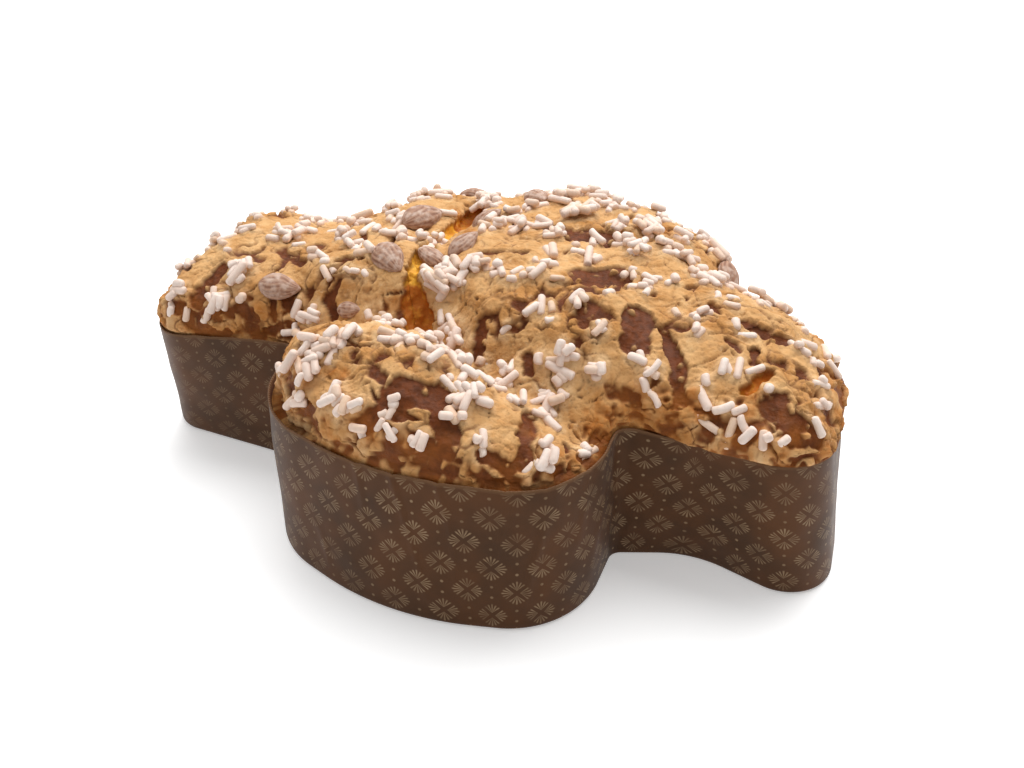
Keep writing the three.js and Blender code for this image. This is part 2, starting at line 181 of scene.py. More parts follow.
def outline(share, step, room_in=0):
    """Points round the case at a share of the wall's height, with the crust's spill at each: the corners
    leaned out by that share and rounded, `step` apart along lines set `room_in` inside. Each share has as
    many."""
    radii, spill = CORNERS[:, 2], CORNERS[:, 5]
    enter, leave, _, _, sweep = rounded(CORNERS[:, :2], radii)
    arcs = np.maximum(2, np.ceil((radii + room_in) * np.abs(sweep) / step)).astype(int)
    straights = np.linalg.norm(np.roll(enter, -1, 0) - leave, axis=1) / step
    straights = np.maximum(1, np.round(straights)).astype(int)
    enter, leave, centre, start, sweep = rounded(CORNERS[:, :2] + share * CORNERS[:, 3:5], radii)
    points, spills = [], []
    for i, r in enumerate(radii):
        j = (i + 1) % len(radii)
        a = start[i] + sweep[i] * np.linspace(0, 1, arcs[i] + 1)
        along = np.arange(1, straights[i])[:, None] / straights[i]
        arc = centre[i] + r * np.stack([np.cos(a), np.sin(a)], 1)
        points += [arc, leave[i] + along * (enter[j] - leave[i])]
        spills += [np.full(len(a), spill[i]), spill[i] + along[:, 0] * (spill[j] - spill[i])]
    return np.concatenate(points), np.concatenate(spills)


def inward(line):
    """Unit vectors square to a closed line, pointing in: each point's neighbours' chord, turned left."""
    chord = np.roll(line, -1, 0) - np.roll(line, 1, 0)
    return unit(np.stack([-chord[:, 1], chord[:, 0]], 1))


def lengths(line):
    """Length along a closed line to each point, and all round."""
    steps = np.linalg.norm(np.roll(line, -1, 0) - line, axis=1)
    return np.concatenate([[0], np.cumsum(steps)[:-1]]), steps.sum()


PRIMES = np.array([374761393, 668265263, 1440662683])
SEED_PRIME = 974711
LOW_BITS = 0xFFFFFFFF
TEN_BITS = 1023


def scrambled(cell, seed):
    """Repeatable random whole numbers for cells of a lattice: coordinates times large primes, mixed by
    shifts and by more large odd factors."""
    h = ((cell * PRIMES).sum(-1) + seed * SEED_PRIME) & LOW_BITS
    for shift, factor in ((13, 1274126177), (15, 1103515245)):
        h = ((h ^ (h >> shift)) * factor) & LOW_BITS
    return h ^ (h >> 16)


def from_bits(h):
    """Three numbers from -1 to 1 out of each scrambled number: ten bits for each."""
    return np.stack([(h >> shift) & TEN_BITS for shift in (0, 10, 20)], -1) / (TEN_BITS / 2) - 1


NOISE_SCALE = 1.6


def noise(p, wave, seed):
    """Smooth random waves, about -1 to 1: at each corner of the lattice cell round a point, a random
    slope times the offset, blended by a curve that starts and ends level."""
    q = p / wave
    cell = np.floor(q).astype(np.int64)
    f = q - cell
    s = f * f * f * (f * (f * 6 - 15) + 10)
    total = np.zeros(len(p))
    for corner in product((0, 1), repeat=3):
        d = np.array(corner)
        slope = from_bits(scrambled(cell + d, seed))
        total += np.prod(np.where(d, s, 1 - s), -1) * (slope * (f - d)).sum(-1)
    return NOISE_SCALE * total


def step_up(x, low, high):
    """0 below low, 1 above high, and a smooth curve between."""
    t = np.clip((x - low) / (high - low), 0, 1)
    return t * t * (3 - 2 * t)


FACET = 1.1  # length of the wall's faces along it
FLOOR_LINE, _ = outline(0, FACET)
RIM_LINE, _ = outline(1, FACET)
FLOOR_IN, RIM_IN = inward(FLOOR_LINE), inward(RIM_LINE)
RIM_HEIGHT = np.sqrt(WALL**2 - ((RIM_LINE - FLOOR_LINE) ** 2).sum(1))
BOTH = np.concatenate([FLOOR_LINE, RIM_LINE])
case_low, case_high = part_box("paper_case")
case_middle = (np.array(case_low[:2]) + np.array(case_high[:2])) / 2
MIDDLE = np.append((BOTH.min(0) + BOTH.max(0)) / 2 - case_middle / METRE, 0)  # of the plan, in the frame


def grid_quads(rows, columns, closed):
    """Corner numbers of the four-sided faces of a grid, row by row, joined round if closed."""
    across = np.arange(columns if closed else columns - 1)
    i, j = np.meshgrid(np.arange(rows - 1), across, indexing="ij")
    k = (j + 1) % columns
    row, above = i * columns, (i + 1) * columns
    return np.stack([row + j, row + k, above + k, above + j], -1).reshape(-1, 4)


def new_piece(name, points, faces, finish, stands_for=()):
    """A smooth mesh object at the origin from points in millimetres of the plan and equal-sided faces."""
    mesh = bpy.data.meshes.new(name)
    mesh.vertices.add(len(points))
    mesh.vertices.foreach_set("co", ((points - MIDDLE) * METRE).astype(np.float32).ravel())
    mesh.loops.add(faces.size)
    mesh.loops.foreach_set("vertex_index", faces.astype(np.int32).ravel())
    mesh.polygons.add(len(faces))
    mesh.polygons.foreach_set("loop_start", np.arange(0, faces.size, faces.shape[1], dtype=np.int32))
    mesh.polygons.foreach_set("use_smooth", np.ones(len(faces), bool))
    mesh.update(calc_edges=True)
    mesh.validate()
    mesh.materials.append(finish)
    piece = bpy.data.objects.new(name, mesh)
    bpy.context.collection.objects.link(piece)
    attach(piece, "root")
    if stands_for:
        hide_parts(*stands_for)
    return piece


def paint(piece, name, values):
    """Keeps one number for each point of a piece, for its finish to read."""
    layer = piece.data.attributes.new(name, "FLOAT", "POINT")
    layer.data.foreach_set("value", values.astype(np.float32))


class Finish:
    """A material whose nodes are added and wired by short calls; a number or a socket can feed any input.
    `noise` has a wavelength in millimetres, and `between` carries one range over to another."""

    def __init__(self, name, **sockets):
        self.material = bpy.data.materials.new(name)
        self.material.use_nodes = True
        self.tree = self.material.node_tree
        self.shader = self.tree.nodes["Principled BSDF"]
        for socket, value in sockets.items():
            self.shader.inputs[socket.replace("_", " ")].default_value = value

    def node(self, kind, output=0, settings=(), **inputs):
        made = self.tree.nodes.new(kind)
        for key, value in dict(settings).items():
            setattr(made, key, value)
        for key, value in inputs.items():
            index = int(key[1:]) if key[0] == "i" and key[1:].isdigit() else key.replace("_", " ")
            self.feed(made.inputs[index], value)
        return made.outputs[output]

    def feed(self, socket, value):
        if isinstance(value, bpy.types.NodeSocket):
            self.tree.links.new(value, socket)
        else:
            socket.default_value = value

    def math(self, operation, a, b=0.0, c=0.0):
        return self.node("ShaderNodeMath", settings={"operation": operation}, i0=a, i1=b, i2=c)

    def place(self):
        return self.node("ShaderNodeTexCoord", output="Object")

    def painted(self, name):
        return self.node("ShaderNodeAttribute", output="Fac", settings={"attribute_name": name})

    def plus(self, a, b):
        return self.math("ADD", a, b)

    def minus(self, a, b):
        return self.math("SUBTRACT", a, b)

    def times(self, a, b):
        return self.math("MULTIPLY", a, b)

    def length(self, a, b):
        return self.math("SQRT", self.plus(self.times(a, a), self.times(b, b)))

    def noise(self, size, detail=3.0, rough=0.55):
        sockets = {"Vector": self.place(), "Scale": 1 / (size * METRE), "Detail": detail, "Roughness": rough}
        return self.node("ShaderNodeTexNoise", **sockets)

    def between(self, value, low, high, to_low=0.0, to_high=1.0):
        return self.node("ShaderNodeMapRange", i0=value, i1=low, i2=high, i3=to_low, i4=to_high)

    def mix(self, share, a, b):
        return self.node("ShaderNodeMix", output=2, settings={"data_type": "RGBA"}, i0=share, i6=a, i7=b)

    def bump(self, height, distance, strength):
        return self.node("ShaderNodeBump", Height=height, Distance=distance * METRE, Strength=strength)

    def set(self, **sockets):
        for socket, value in sockets.items():
            self.feed(self.shader.inputs[socket.replace("_", " ")], value)
        return self.material


PITCH_ALONG = 17.2
PITCH_UP = 21.5
BURST_AT = (0.646, 0.661)  # where the lattice starts, in pitches
STEM = 1.2  # how far out from a burst's middle each fan opens
QUARTER = math.pi / 2
RAY_TURN = math.radians(22)
RAYS_ASIDE = 2.0  # rays on either side of a fan's middle one
RAY_SHORTER = 0.35  # by which each ray further aside ends sooner
RAY_GROWS = (0.6, 3.6, 0.06, 0.31)  # from and to this far out, from and to this half-width
RAY_EDGE = 0.1  # half the width over which a ray's side fades
RAY_AHEAD = (1.2, 1.4)  # radians off a ray's line over which it fades
RAY_ENDS = (4.9, 5.5)  # from a burst's middle, where its rays fade out
DOT_UP = 8.3
DOT_RADIUS = (0.4, 0.7)
RIB = 1.3  # pitch of the ribs inside
HEAD_SHEEN_SPAN = (-0.12, -0.07)  # metres along the loaf over which the print pales, a painted sheen towards the head's end
PAPER_BROWN = (0.086, 0.0315, 0.0085, 1)
PAPER_DARK = (0.055, 0.022, 0.0065, 1)
PAPER_PRINT = (0.25, 0.162, 0.09, 1)
PAPER_INSIDE = (0.24, 0.10, 0.04, 1)
PAPER_RIM = (0.15, 0.075, 0.035, 1)


def ray_burst(f, x, y):
    """How much of a burst or of its two dots covers a point x, y from its middle. The point's angle is
    folded into one of four fans, and within the fan, seen from where that opens, it is rounded to the
    nearest of five rays; the point is covered where it lies less than the ray's half-width beside it and
    not past its end."""
    r = f.length(x, y)
    angle = f.plus(f.math("ARCTAN2", y, x), QUARTER / 2)
    fan = f.minus(f.math("FLOORED_MODULO", angle, QUARTER), QUARTER / 2)
    out = f.minus(f.times(r, f.math("COSINE", fan)), STEM)
    beside = f.times(r, f.math("SINE", fan))
    spread = f.math("ARCTAN2", beside, out)
    ray = f.math("ROUND", f.math("DIVIDE", spread, RAY_TURN))
    ray = f.math("MAXIMUM", f.math("MINIMUM", ray, RAYS_ASIDE), -RAYS_ASIDE)
    off = f.minus(spread, f.times(ray, RAY_TURN))
    reach = f.length(out, beside)
    aside = f.times(reach, f.math("ABSOLUTE", f.math("SINE", off)))
    on_ray = f.between(f.minus(f.between(reach, *RAY_GROWS), aside), -RAY_EDGE, RAY_EDGE)
    ahead = f.between(f.math("ABSOLUTE", off), *RAY_AHEAD, 1.0, 0.0)
    end = f.math("MULTIPLY_ADD", f.math("ABSOLUTE", ray), RAY_SHORTER, r)
    burst = f.times(f.times(on_ray, ahead), f.between(end, *RAY_ENDS, 1.0, 0.0))
    to_dot = f.length(x, f.minus(f.math("ABSOLUTE", y), DOT_UP))
    return f.math("MAXIMUM", burst, f.between(to_dot, *DOT_RADIUS, 1.0, 0.0))


def paper_finish():
    """Brown paper, mottled, printed outside with two lattices of bursts half a pitch apart. The print is
    worn in spots, and paler to the head's end as a painted sheen; `inside` is 1 on the inner face and
    `edge` 1 at the torn rim."""
    f = Finish("printed_paper", Roughness=0.5, Specular_IOR_Level=0.1, Sheen_Weight=0.05)
    along = f.node("ShaderNodeSeparateXYZ", i0=f.node("ShaderNodeUVMap", settings={"uv_map": "print"}))
    up = along.node.outputs[1]
    lattices = []
    for shift in (0.0, 0.5):
        across, upward = (
            f.times(f.minus(f.math("FRACT", f.plus(way, shift + start)), 0.5), pitch)
            for way, start, pitch in zip((along, up), BURST_AT, (PITCH_ALONG, PITCH_UP))
        )
        lattices.append(ray_burst(f, across, upward))
    marks = f.math("MAXIMUM", *lattices)
    to_tail = f.node("ShaderNodeSeparateXYZ", i0=f.place())
    worn_and_sheen_faded = f.between(f.noise(5, 4), 0.35, 0.62, 0.4, 1)
    worn_and_sheen_faded = f.times(worn_and_sheen_faded, f.between(f.noise(40, 2), 0.38, 0.58, 0.55, 1))
    # Painted sheen: the print fades towards the head's end.
    worn_and_sheen_faded = f.times(worn_and_sheen_faded, f.between(to_tail, *HEAD_SHEEN_SPAN, 0.5, 1))
    inside, edge = f.painted("inside"), f.painted("edge")
    marks = f.times(f.times(marks, worn_and_sheen_faded), f.minus(1.0, inside))
    colour = f.mix(f.between(f.noise(22, 3), 0.35, 0.65), PAPER_BROWN, PAPER_DARK)
    colour = f.mix(marks, colour, PAPER_PRINT)
    ribs = f.math("SINE", f.times(along, PITCH_ALONG * 2 * math.pi / RIB))
    colour = f.mix(inside, colour, f.mix(f.between(ribs, -1, 1, 0.0, 0.6), PAPER_INSIDE, PAPER_BROWN))
    colour = f.mix(edge, colour, PAPER_RIM)
    fibres = f.noise(0.5, 4)
    height = f.plus(f.times(fibres, 0.25), f.times(ribs, f.times(inside, 0.8)))
    return f.set(Base_Color=colour, Normal=f.bump(height, 0.25, 0.6))


def wall_ring(share, inset):
    """Plan points at a share of the wall's height, moved in by `inset`."""
    low = FLOOR_LINE + inset * FLOOR_IN
    return low + share * (RIM_LINE + inset * RIM_IN - low)


FOOT_RINGS, OUTER_RINGS, INNER_RINGS = 6, 44, 30
TORN = 0.992  # above this share of the height the wall shows its torn edge
RIM_WAVES = ((27, 1, 0.75), (7, 2, 0.25), (2.4, 3, 0.14))  # wavelength, seed, height


def case_profile():
    """For each ring of the case, the share of the wall's height, the inset, and how far it is inside and
    at the torn edge: a quarter round foot, the outer face, over the rim, the inner face and the edge of
    the floor."""
    round_foot = np.linspace(0, np.pi / 2, FOOT_RINGS)
    profile = [(FOOT * (1 - math.cos(a)) / WALL, FOOT * (1 - math.sin(a)), 0, 0) for a in round_foot]
    outer = np.linspace(FOOT / WALL, 1, OUTER_RINGS)[1:]
    inner = np.linspace(1, (FOOT + PAPER) / WALL, INNER_RINGS)[1:]
    profile += [(share, 0, 0, float(share > TORN)) for share in outer]
    profile += [(1.003, 0.2, 0.5, 1), (1.002, 0.45, 1, 1), (0.997, PAPER, 1, 0.6)]
    profile += [(share, PAPER, 1, 0) for share in inner]
    return profile + [(PAPER / WALL, FOOT + PAPER, 1, 0)]


def buckled(plan, share):
    """How far a ring of the wall stands out: two slow waves, and narrow upright creases where a noise
    stretched upwards passes through nought, all dying away at the foot."""
    place = np.concatenate([plan, np.full((len(plan), 1), share * WALL)], 1)
    waves = 0.5 * noise(place, 34, 4) + 0.22 * noise(place, 12, 5)
    upright = place * (1, 1, 0.2)
    crease = np.exp(-((noise(upright, 15, 6) / 0.09) ** 2)) * step_up(noise(upright, 38, 7), 0.05, 0.5)
    return (waves + 0.6 * crease) * step_up(share, 0.04, 0.3)


def paper_case():
    """The profile's rings carried round the outline, buckled, with the rim raised by waves of a noise
    read on a circle as long as the rim, and two fans of triangles that close the floor. The print's map
    runs along the wall in whole pitches and up its slope."""
    columns = len(RIM_LINE)
    at, around = lengths((FLOOR_LINE + RIM_LINE) / 2)
    turn = 2 * np.pi * at / around
    level = np.zeros(columns)
    on_ring = np.stack([np.cos(turn), np.sin(turn), level], 1) * around / (2 * np.pi)
    rim_rise = sum(height * noise(on_ring, wave, seed) for wave, seed, height in RIM_WAVES)
    profile = case_profile()
    rings = []
    for share, inset, _, _ in profile:
        plan = wall_ring(share, inset)
        ring = np.concatenate([plan - buckled(plan, share)[:, None] * RIM_IN, level[:, None]], 1)
        ring[:, 2] = share * RIM_HEIGHT + rim_rise * step_up(share, 0.9, 1)
        rings.append(ring)
    shares, _, inside, edge = np.array(profile).T
    quads = grid_quads(len(rings), columns, True)
    points = np.concatenate(rings)
    low_hub = len(points)
    points = np.concatenate([points, [[0, 0, 0], [0, 0, PAPER]]])
    i = np.arange(columns)
    j = (i + 1) % columns
    last = (len(rings) - 1) * columns
    under = np.stack([np.full(columns, low_hub), j, i], 1)
    over = np.stack([np.full(columns, low_hub + 1), last + i, last + j], 1)
    triangles = np.concatenate([quads[:, [0, 1, 2]], quads[:, [0, 2, 3]], under, over])
    piece = new_piece("printed_case", points, triangles, paper_finish(), ["paper_case"])
    paint(piece, "inside", np.append(np.repeat(inside, columns), [0, 1]))
    paint(piece, "edge", np.append(np.repeat(edge, columns), [0, 0]))
    row, column = np.divmod(triangles, columns)
    repeats = round(around / PITCH_ALONG)
    across = at[column] / around * repeats
    wraps = (column.max(1, keepdims=True) - column.min(1, keepdims=True) > columns / 2) & (column == 0)
    across = np.where(wraps, repeats, across)
    upward = np.append(shares * WALL / PITCH_UP, [0, 0])[np.minimum(row, len(shares))]
    layer = piece.data.uv_layers.new(name="print")
    layer.data.foreach_set("uv", np.stack([across, upward], -1).astype(np.float32).ravel())


paper_case()

# ---------------------------------------------------------------- loaf
# Sweet yeast dough that has risen over the rim and split between its lobes. Before baking it was spread
# with an almond and egg-white glaze, which has crazed into plates over the brown crust and flaked off in
# patches.

ROLL = 34  # radius of the quarter round from the rim to the crowns
LIP = 0.8  # the crust's edge stands this far over the rim
TUCK = 6  # how fast the spill over the rim dies away further in
GAPING = 1.6  # spill under which the crust's edge also drops below the rim
DROP = 1.1  # by this share of the rest
CROWNS = [  # x, y, spread, rise
    (10, -5, 38, 30),
    (-106, 2, 26, 21),
    (-84, 30, 14, 11),
    (-66, 32, 12, 28),
    (-22, -60, 24, 23),
    (40, -74, 18, 9),
    (36, 58, 28, 27),
    (70, 78, 14, 10),
    (-42, 58, 26, 19),
    (100, -8, 30, 22),
    (104, 17, 15, 25),
    (132, 12, 16, 8),
]
VALLEYS = [  # from, to, depth, width
    ((-64, -36), (-18, -27), 18, 11),
    ((-18, -27), (16, -40), 19, 13),
    ((16, -40), (62, -54), 15, 14),
    ((-17, -34), (-34, 58), 5, 5),
    ((68, -14), (76, -34), 3, 4),
]
LUMPS = [(47, 25, 1.1), (31, 100, 0.9), (21, 160, 0.7), (15, 65, 0.5)]  # wavelength, direction, height
CELL = 0.5  # size of one face of the crust
PATCH = 9.5  # the level grid starts this far in from the rim
BAND = 10.6  # and the rings round it end here
SINK = 0.6  # by which the grid's edge passes under the rings


def to_segment(p, a, b):
    """Distance from each point to a straight line between two points, in the plan or in space."""
    a, b = np.asarray(a, float), np.asarray(b, float)
    way = b - a
    share = np.clip(((p - a) @ way) / max(way @ way, 1e-9), 0, 1)
    return np.linalg.norm(p - a - share[:, None] * way, axis=1)


RIM_SAMPLES, SAMPLE_SPILL = outline(1, 3)
SAMPLE_HEIGHT = np.sqrt(WALL**2 - ((RIM_SAMPLES - outline(0, 3)[0]) ** 2).sum(1))


def from_rim(plan):
    """Distance in from the rim's outline, negative outside it, and the rim's height and the crust's spill
    at the nearest piece of it. A point is inside if the line from it to the right crosses the outline an
    odd number of times."""
    away, nearest = np.full(len(plan), np.inf), np.zeros(len(plan), int)
    inside = np.zeros(len(plan), bool)
    x, y = plan.T
    for i, (a, b) in enumerate(zip(RIM_SAMPLES, np.roll(RIM_SAMPLES, -1, 0))):
        d = to_segment(plan, a, b)
        nearest = np.where(d < away, i, nearest)
        away = np.minimum(away, d)
        if a[1] != b[1]:
            inside ^= ((a[1] > y) != (b[1] > y)) & (x < a[0] + (y - a[1]) / (b[1] - a[1]) * (b[0] - a[0]))
    return np.where(inside, away, -away), SAMPLE_HEIGHT[nearest], SAMPLE_SPILL[nearest]


def rolled_in(plan):
    """How far in along the roll each point lies, by Newton's steps: the distance from the rim is that
    less the spill, which dies away over TUCK. Negative where there is no crust."""
    distance, _, spill = from_rim(plan)
    depth = np.maximum(distance, 0)
    for _ in range(6):
        fade = spill * np.exp(-depth / TUCK)
        depth = np.maximum(depth - (depth - fade - distance) / (1 + fade / TUCK), 0)
    return np.where(distance + spill < 0, distance + spill, depth)


def crust_height(plan, rolled):
    """Height of the crust: the rim's height, less a drop where the crust stands well off the wall, plus
    the blend of the lobes' crowns rolled down as a quarter round, plus slow swells, less the deepest
    valley. `rolled` is how far in along the roll each point is."""
    _, height, spill = from_rim(plan)
    height = height - DROP * np.maximum(0, -spill - GAPING) * np.exp(-rolled / TUCK)
    weights = np.array(
        [np.exp(-((plan - (x, y)) ** 2).sum(1) / (2 * spread**2)) + 1e-6 for x, y, spread, _ in CROWNS]
    )
    rise = (weights * np.array([[crown[3]] for crown in CROWNS])).sum(0) / weights.sum(0)
    roll = np.clip(rolled / ROLL, 0, 1)
    cuts = [deep * np.exp(-((to_segment(plan, a, b) / width) ** 2)) for a, b, deep, width in VALLEYS]
    swell = 0
    for wave, turn, lump in LUMPS:
        c, s = math.cos(math.radians(turn)), math.sin(math.radians(turn))
        along, across = plan @ (c, s), plan @ (-s, c)
        swell += lump * np.sin(along * 2 * np.pi / wave) * np.cos(across * 2 * np.pi / (1.3 * wave))
    up = np.sqrt(1 - (1 - roll) ** 2)
    return height + rise * up + swell * roll - np.max(cuts, axis=0) * up


COARSE = 1.0  # one step of the quick tables of depth and height
LOW_CORNER = np.floor(RIM_LINE.min(0)) - 4
COUNTS = (np.ceil(RIM_LINE.max(0) - LOW_CORNER) + 5).astype(int)
ticks = [np.arange(n) * COARSE for n in COUNTS]
coarse_plan = np.stack(np.meshgrid(*ticks, indexing="ij"), -1).reshape(-1, 2) + LOW_CORNER
COARSE_DEPTH = rolled_in(coarse_plan)
COARSE_HEIGHT = crust_height(coarse_plan, COARSE_DEPTH).reshape(COUNTS)
COARSE_DEPTH = COARSE_DEPTH.reshape(COUNTS)


def quick_look(plan, table):
    """A value read from a one-millimetre grid, straight between the grid's points."""
    q = np.clip((plan - LOW_CORNER) / COARSE, 0, COUNTS - 1.001)
    i, j = np.floor(q).astype(int).T
    u, v = (q - np.floor(q)).T
    low = table[i, j] * (1 - u) + table[i + 1, j] * u
    return low * (1 - v) + (table[i, j + 1] * (1 - u) + table[i + 1, j + 1] * u) * v


STRIDE = 2.0  # the crust's slope is read over this far to either side


def on_crust(plan):
    """Points of the plan put on the crust, and the way out of it there."""
    drops = []
    for step in ((STRIDE, 0), (0, STRIDE)):
        drops.append(quick_look(plan - step, COARSE_HEIGHT) - quick_look(plan + step, COARSE_HEIGHT))
    out = unit(np.stack([drops[0] / (2 * STRIDE), drops[1] / (2 * STRIDE), np.ones(len(plan))], 1))
    return np.concatenate([plan, quick_look(plan, COARSE_HEIGHT)[:, None]], 1), out


SOUNDED = (110, WALL - 8, 500)  # heights from, to and how many, at which lines of sight are tested


def seen_at(pixels):
    """Where the crust lies behind pixels of the photograph: each line of sight is followed down until it
    is under the crust, or to where it passes closest. Also gives the length of one pixel there."""
    pixels = np.asarray(pixels, float)
    aside, down = (pixels - (WIDE / 2, HIGH / 2)).T[:, :, None] / FOCAL_PIXELS
    way = SIGHT + aside * RIGHT - down * UP
    eye = EYE + MIDDLE
    far = (np.linspace(*SOUNDED)[:, None] - eye[2]) / way[:, 2]
    points = eye + far[..., None] * way
    plan = points[..., :2].reshape(-1, 2)
    height = np.where(quick_look(plan, COARSE_DEPTH) > 0, quick_look(plan, COARSE_HEIGHT), 0)
    above = points[..., 2] - height.reshape(far.shape)
    first = np.where((above <= 0).any(0), (above <= 0).argmax(0), above.argmin(0))
    column = np.arange(len(pixels))
    return points[first, column], far[first, column] / FOCAL_PIXELS


def cells(p, size, seed):
    """Plates: a lattice with one random point in each cell. Gives about the distance to the border with
    the next plate, which is half the difference of the distances to the two nearest points, a random tone
    for each plate and a random tilt of it, in millimetres up or down."""
    q = p / size
    cell = np.floor(q).astype(np.int64)
    first, second = np.full(len(p), 9.0), np.full(len(p), 9.0)
    tone, tilt = np.zeros(len(p)), np.zeros(len(p))
    for step in product((-1, 0, 1), repeat=3):
        d = np.array(step)
        offset = cell + d + 0.5 + 0.45 * from_bits(scrambled(cell + d, seed)) - q
        distance = np.sqrt((offset**2).sum(1))
        nearer = distance < first
        second = np.minimum(second, np.maximum(first, distance))
        first = np.where(nearer, distance, first)
        random = from_bits(scrambled(cell + d, seed + 1))
        tone = np.where(nearer, random[:, 0], tone)
        tilt = np.where(nearer, (random * offset).sum(1), tilt)
    return (second - first) / 2 * size, tone, tilt


# Bare patches, where the glaze has flaked off or never met: from pixel, to pixel, half-width in pixels.
BARE = [
    (374, 372, 398, 386, 7),
    (396, 391, 436, 400, 16),
    (440, 404, 448, 438, 13),
    (448, 442, 436, 474, 12),
    (527, 417, 524, 462, 10),
    (480, 455, 508, 470, 8),
    (566, 446, 569, 470, 4),
    (394, 455, 398, 472, 5),
    (484, 324, 478, 356, 7),
    (528, 355, 530, 372, 4),
    (482, 254, 522, 253, 5),
    (575, 234, 608, 240, 13),
    (582, 276, 618, 274, 15),
    (620, 280, 616, 291, 4),
    (592, 304, 583, 322, 5),
    (639, 318, 635, 342, 17),
    (664, 332, 677, 362, 7),
    (677, 362, 681, 402, 8),
    (656, 381, 652, 388, 3),
    (742, 322, 766, 334, 6),
    (776, 339, 793, 345, 6),
    (710, 308, 720, 315, 4),
    (728, 341, 737, 352, 3.5),
    (755, 352, 753, 364, 4),
    (775, 405, 800, 435, 15),
    (222, 268, 198, 300, 8),
    (188, 318, 212, 334, 8),
    (340, 281, 329, 300, 5),
    (329, 300, 334, 320, 5),
    (293, 257, 302, 264, 4),
    (336, 262, 362, 260, 4),
    (274, 301, 274, 322, 2.5),
    (236, 309, 255, 318, 5),
    (270, 398, 296, 428, 3),
]
# Tears, where the crumb shows: from pixel, to pixel, half-width in pixels.
TEARS = [
    (480, 211, 457, 228, 7),
    (457, 228, 424, 252, 6),
    (419, 254, 411, 280, 7),
    (411, 282, 413, 300, 9),
    (413, 302, 420, 332, 14),
    (768, 374, 748, 390, 6),
    (595, 205, 608, 209, 4),
    (622, 236, 634, 241, 4),
]
# Where torn crumb is baked to orange, and where the glaze is thin and ambered by syrup.
ORANGE = [(480, 211, 462, 224, 9), (408, 306, 423, 330, 24), (768, 374, 748, 390, 9)]
AMBER = [
    (600, 426, 645, 418, 22),
    (645, 418, 692, 406, 20),
    (596, 400, 606, 430, 5),
    (668, 392, 686, 402, 8),
    (752, 392, 740, 440, 11),
    (350, 218, 374, 213, 6),
    (455, 212, 470, 232, 8),
    (640, 225, 664, 232, 6),
    (520, 425, 560, 455, 6),
    (396, 300, 400, 340, 8),
    (300, 375, 345, 372, 8),
    (204, 330, 262, 335, 9),
]
HIDDEN_PATCHES = 18
SWELL = 0.7  # how much the glaze rises round sugar
PLATE = 21  # usual width of the glaze's plates
FLAKE = 6  # and of its flakes
BY_RIM = (3, 15)  # the glaze is thin and crumbly this near the rim
GLAZE_THICK = 1.2
TEAR_DEEP = 1.9


def spans(marks):
    """Ends in space and half-width in millimetres of each mark on the crust."""
    table = np.array(marks, float)
    a, pixel_a = seen_at(table[:, :2])
    b, pixel_b = seen_at(table[:, 2:4])
    return list(zip(a, b, table[:, 4] * (pixel_a + pixel_b) / 2))


def hidden_spans():
    """Patches of the same kind on the sides that the photograph doesn't show, drawn at random."""
    draw = np.random.default_rng(5)
    plan = draw.uniform(RIM_LINE.min(0), RIM_LINE.max(0), (600, 2))
    plan = plan[quick_look(plan, COARSE_DEPTH) > 3]
    at, out = on_crust(plan)
    away = ((EYE + MIDDLE - at) * out).sum(1) < 60
    at, out = at[away][:HIDDEN_PATCHES], out[away][:HIDDEN_PATCHES]
    along = unit(np.cross(out, draw.normal(size=at.shape)))
    half = draw.uniform(2, 9, (len(at), 1))
    return list(zip(at - half * along, at + half * along, draw.uniform(1.8, 5, len(at))))


def edge_of(p, marks):
    """Distance from each point to the nearest mark's edge, negative inside."""
    return np.min([to_segment(p, a, b) - half for a, b, half in marks], axis=0)


bare_marks = spans(BARE) + hidden_spans()
tear_marks, orange_marks, amber_marks = spans(TEARS), spans(ORANGE), spans(AMBER)


